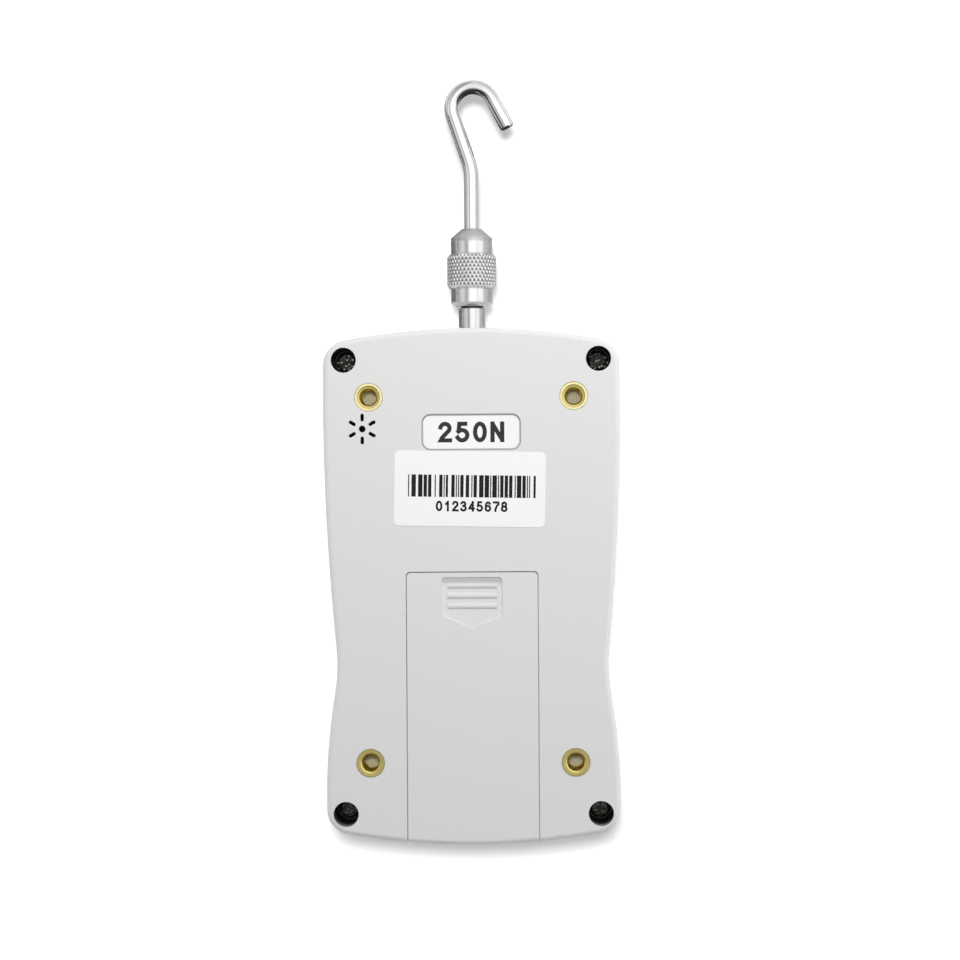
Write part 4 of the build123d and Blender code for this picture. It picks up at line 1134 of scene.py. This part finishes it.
def makeFloor():
    bpy.ops.mesh.primitive_plane_add(size=studio["floorSize"], location=(0, 0, cadBounds[0][2]))
    floor = bpy.context.object
    floor.name = "floor"
    material, tree = newMaterial("floorWhite")
    tree.nodes.clear()
    rays = addNode(tree, "LightPath").outputs
    seen = addMath(tree, "MAXIMUM", rays["Is Camera Ray"],
                   addMath(tree, "MAXIMUM", rays["Is Glossy Ray"], rays["Is Transmission Ray"]))
    reach = addNode(tree, "VectorMath", {0: objectPlace(tree)}, operation="LENGTH").outputs["Value"]
    level = times(tree, seen, addRange(tree, reach, *studio["glowReach"], *studio["floorGlow"]))
    matte = addNode(tree, "BsdfDiffuse", {"Color": (*studio["floorColour"], 1)})
    glow = addNode(tree, "Emission", {"Strength": level})
    both = addNode(tree, "AddShader", {0: matte.outputs[0], 1: glow.outputs[0]})
    addNode(tree, "OutputMaterial", {"Surface": both.outputs[0]})
    floor.data.materials.append(material)
    return floor


def mixShaders(tree, factor, first, second):
    # the first where the factor is 0 and the second where it is 1
    return addNode(tree, "MixShader", {0: factor, 1: first.outputs[0], 2: second.outputs[0]})


def makeCard(name, x0, x1, y0, y1, z0, z1, level):
    bpy.ops.mesh.primitive_plane_add(size=1, location=((x0 + x1) / 2, (y0 + y1) / 2, (z0 + z1) / 2),
                                     rotation=(math.atan2(z1 - z0, y1 - y0), 0, 0))
    card = bpy.context.object
    card.name = name
    card.scale = (x1 - x0, math.hypot(y1 - y0, z1 - z0), 1)
    makeActive(card)
    bpy.ops.object.transform_apply(location=True, rotation=True, scale=True)
    for kind in ("camera", "diffuse", "transmission", "volume_scatter", "shadow"):
        setattr(card, "visible_" + kind, False)
    material, tree = newMaterial(name)
    tree.nodes.clear()
    shine = addNode(tree, "Emission", {"Strength": level})
    clear = addNode(tree, "BsdfTransparent")
    back = addNode(tree, "NewGeometry").outputs["Backfacing"]
    addNode(tree, "OutputMaterial", {"Surface": mixShaders(tree, back, shine, clear).outputs[0]})
    card.data.materials.append(material)


def addTentRamp(tree, way, axis, bands):
    # brightness by the lean from overhead along one axis, and the highest level in it
    lean = addMath(tree, "ARCTAN2", way.outputs[axis], way.outputs["Z"])
    ramp = addNode(tree, "ValToRGB", {"Fac": addRange(tree, lean, -math.pi / 2, math.pi / 2, 0, 1)})
    brightest = max(level for _, level in bands)
    elements = ramp.color_ramp.elements
    while len(elements) < len(bands):
        elements.new(0.5)
    for element, (degrees, level) in zip(elements, bands):
        element.position = (degrees + 90) / 180
        element.color = (*[level / brightest] * 3, 1)
    return ramp.outputs["Color"], brightest


def makeWorld():
    # matt surfaces get an even fill, the view is white, and metal sees a bright tent with streaks
    world = bpy.data.worlds.new("studio")
    bpy.context.scene.world = world
    world.use_nodes = True
    tree = world.node_tree
    tree.nodes.clear()
    seen = addNode(tree, "TexCoord").outputs["Generated"]
    way = addNode(tree, "SeparateXYZ", {0: seen})
    sideways, brightest = addTentRamp(tree, way, "X", studio["tent"])
    endways, most = addTentRamp(tree, way, "Y", studio["tentEnds"])
    colour = addNode(tree, "VectorMath", {0: sideways, 1: endways}, operation="MULTIPLY").outputs[0]
    plain = (1, 1, 1, 1)
    levels = (plain, studio["fill"]), (colour, brightest * most), (plain, 1.0)
    fill, tent, white = (addNode(tree, "Background", {"Color": given, "Strength": level})
                         for given, level in levels)
    rays = addNode(tree, "LightPath").outputs
    lit = mixShaders(tree, rays["Is Glossy Ray"], fill, tent)
    direct = addMath(tree, "MAXIMUM", rays["Is Camera Ray"], rays["Is Transmission Ray"])
    addNode(tree, "OutputWorld", {"Surface": mixShaders(tree, direct, lit, white).outputs[0]})


def makeLamp(place, size, power):
    place = Vector(place)
    bpy.ops.object.light_add(type="AREA", location=place)
    lamp = bpy.context.object
    lamp.data.shape = "DISK"
    lamp.data.size = size
    lamp.data.energy = power
    lamp.visible_glossy = False
    lamp.rotation_euler = (Vector(studio["lampAim"]) - place).to_track_quat("-Z", "Y").to_euler()
    return lamp


def linkLamp(lamp, stage, state):
    # EXCLUDE: the lamp lights everything but this stage object; INCLUDE: it lights nothing else
    linked = bpy.data.collections.new(lamp.name + "Linked")
    linked.objects.link(stage)
    lamp.light_linking.receiver_collection = linked
    linked.collection_objects[0].light_linking.link_state = state


def makeCamera():
    lean, turn = math.radians(studio["cameraLean"]), math.radians(studio["cameraTurn"])
    bpy.ops.object.camera_add(location=[c * mm for c in studio["cameraPlace"]], rotation=(0, lean, turn))
    camera = bpy.context.object
    camera.data.lens = studio["lens"]
    camera.data.sensor_width = studio["sensor"]
    camera.data.clip_start = studio["clipStart"]
    bpy.context.scene.camera = camera


floor = makeFloor()
for card, values in studio["cards"].items():
    makeCard(card, *values)
makeWorld()
makeLamp(*studio["softbox"])
linkLamp(makeLamp(*studio["floorLamp"]), floor, "INCLUDE")
for lamp in ("endLamp", "rightLamp", "leftLamp"):
    linkLamp(makeLamp(*studio[lamp]), floor, "EXCLUDE")
makeCamera()
bpy.context.scene.view_settings.view_transform = "Standard"
print("studio made")
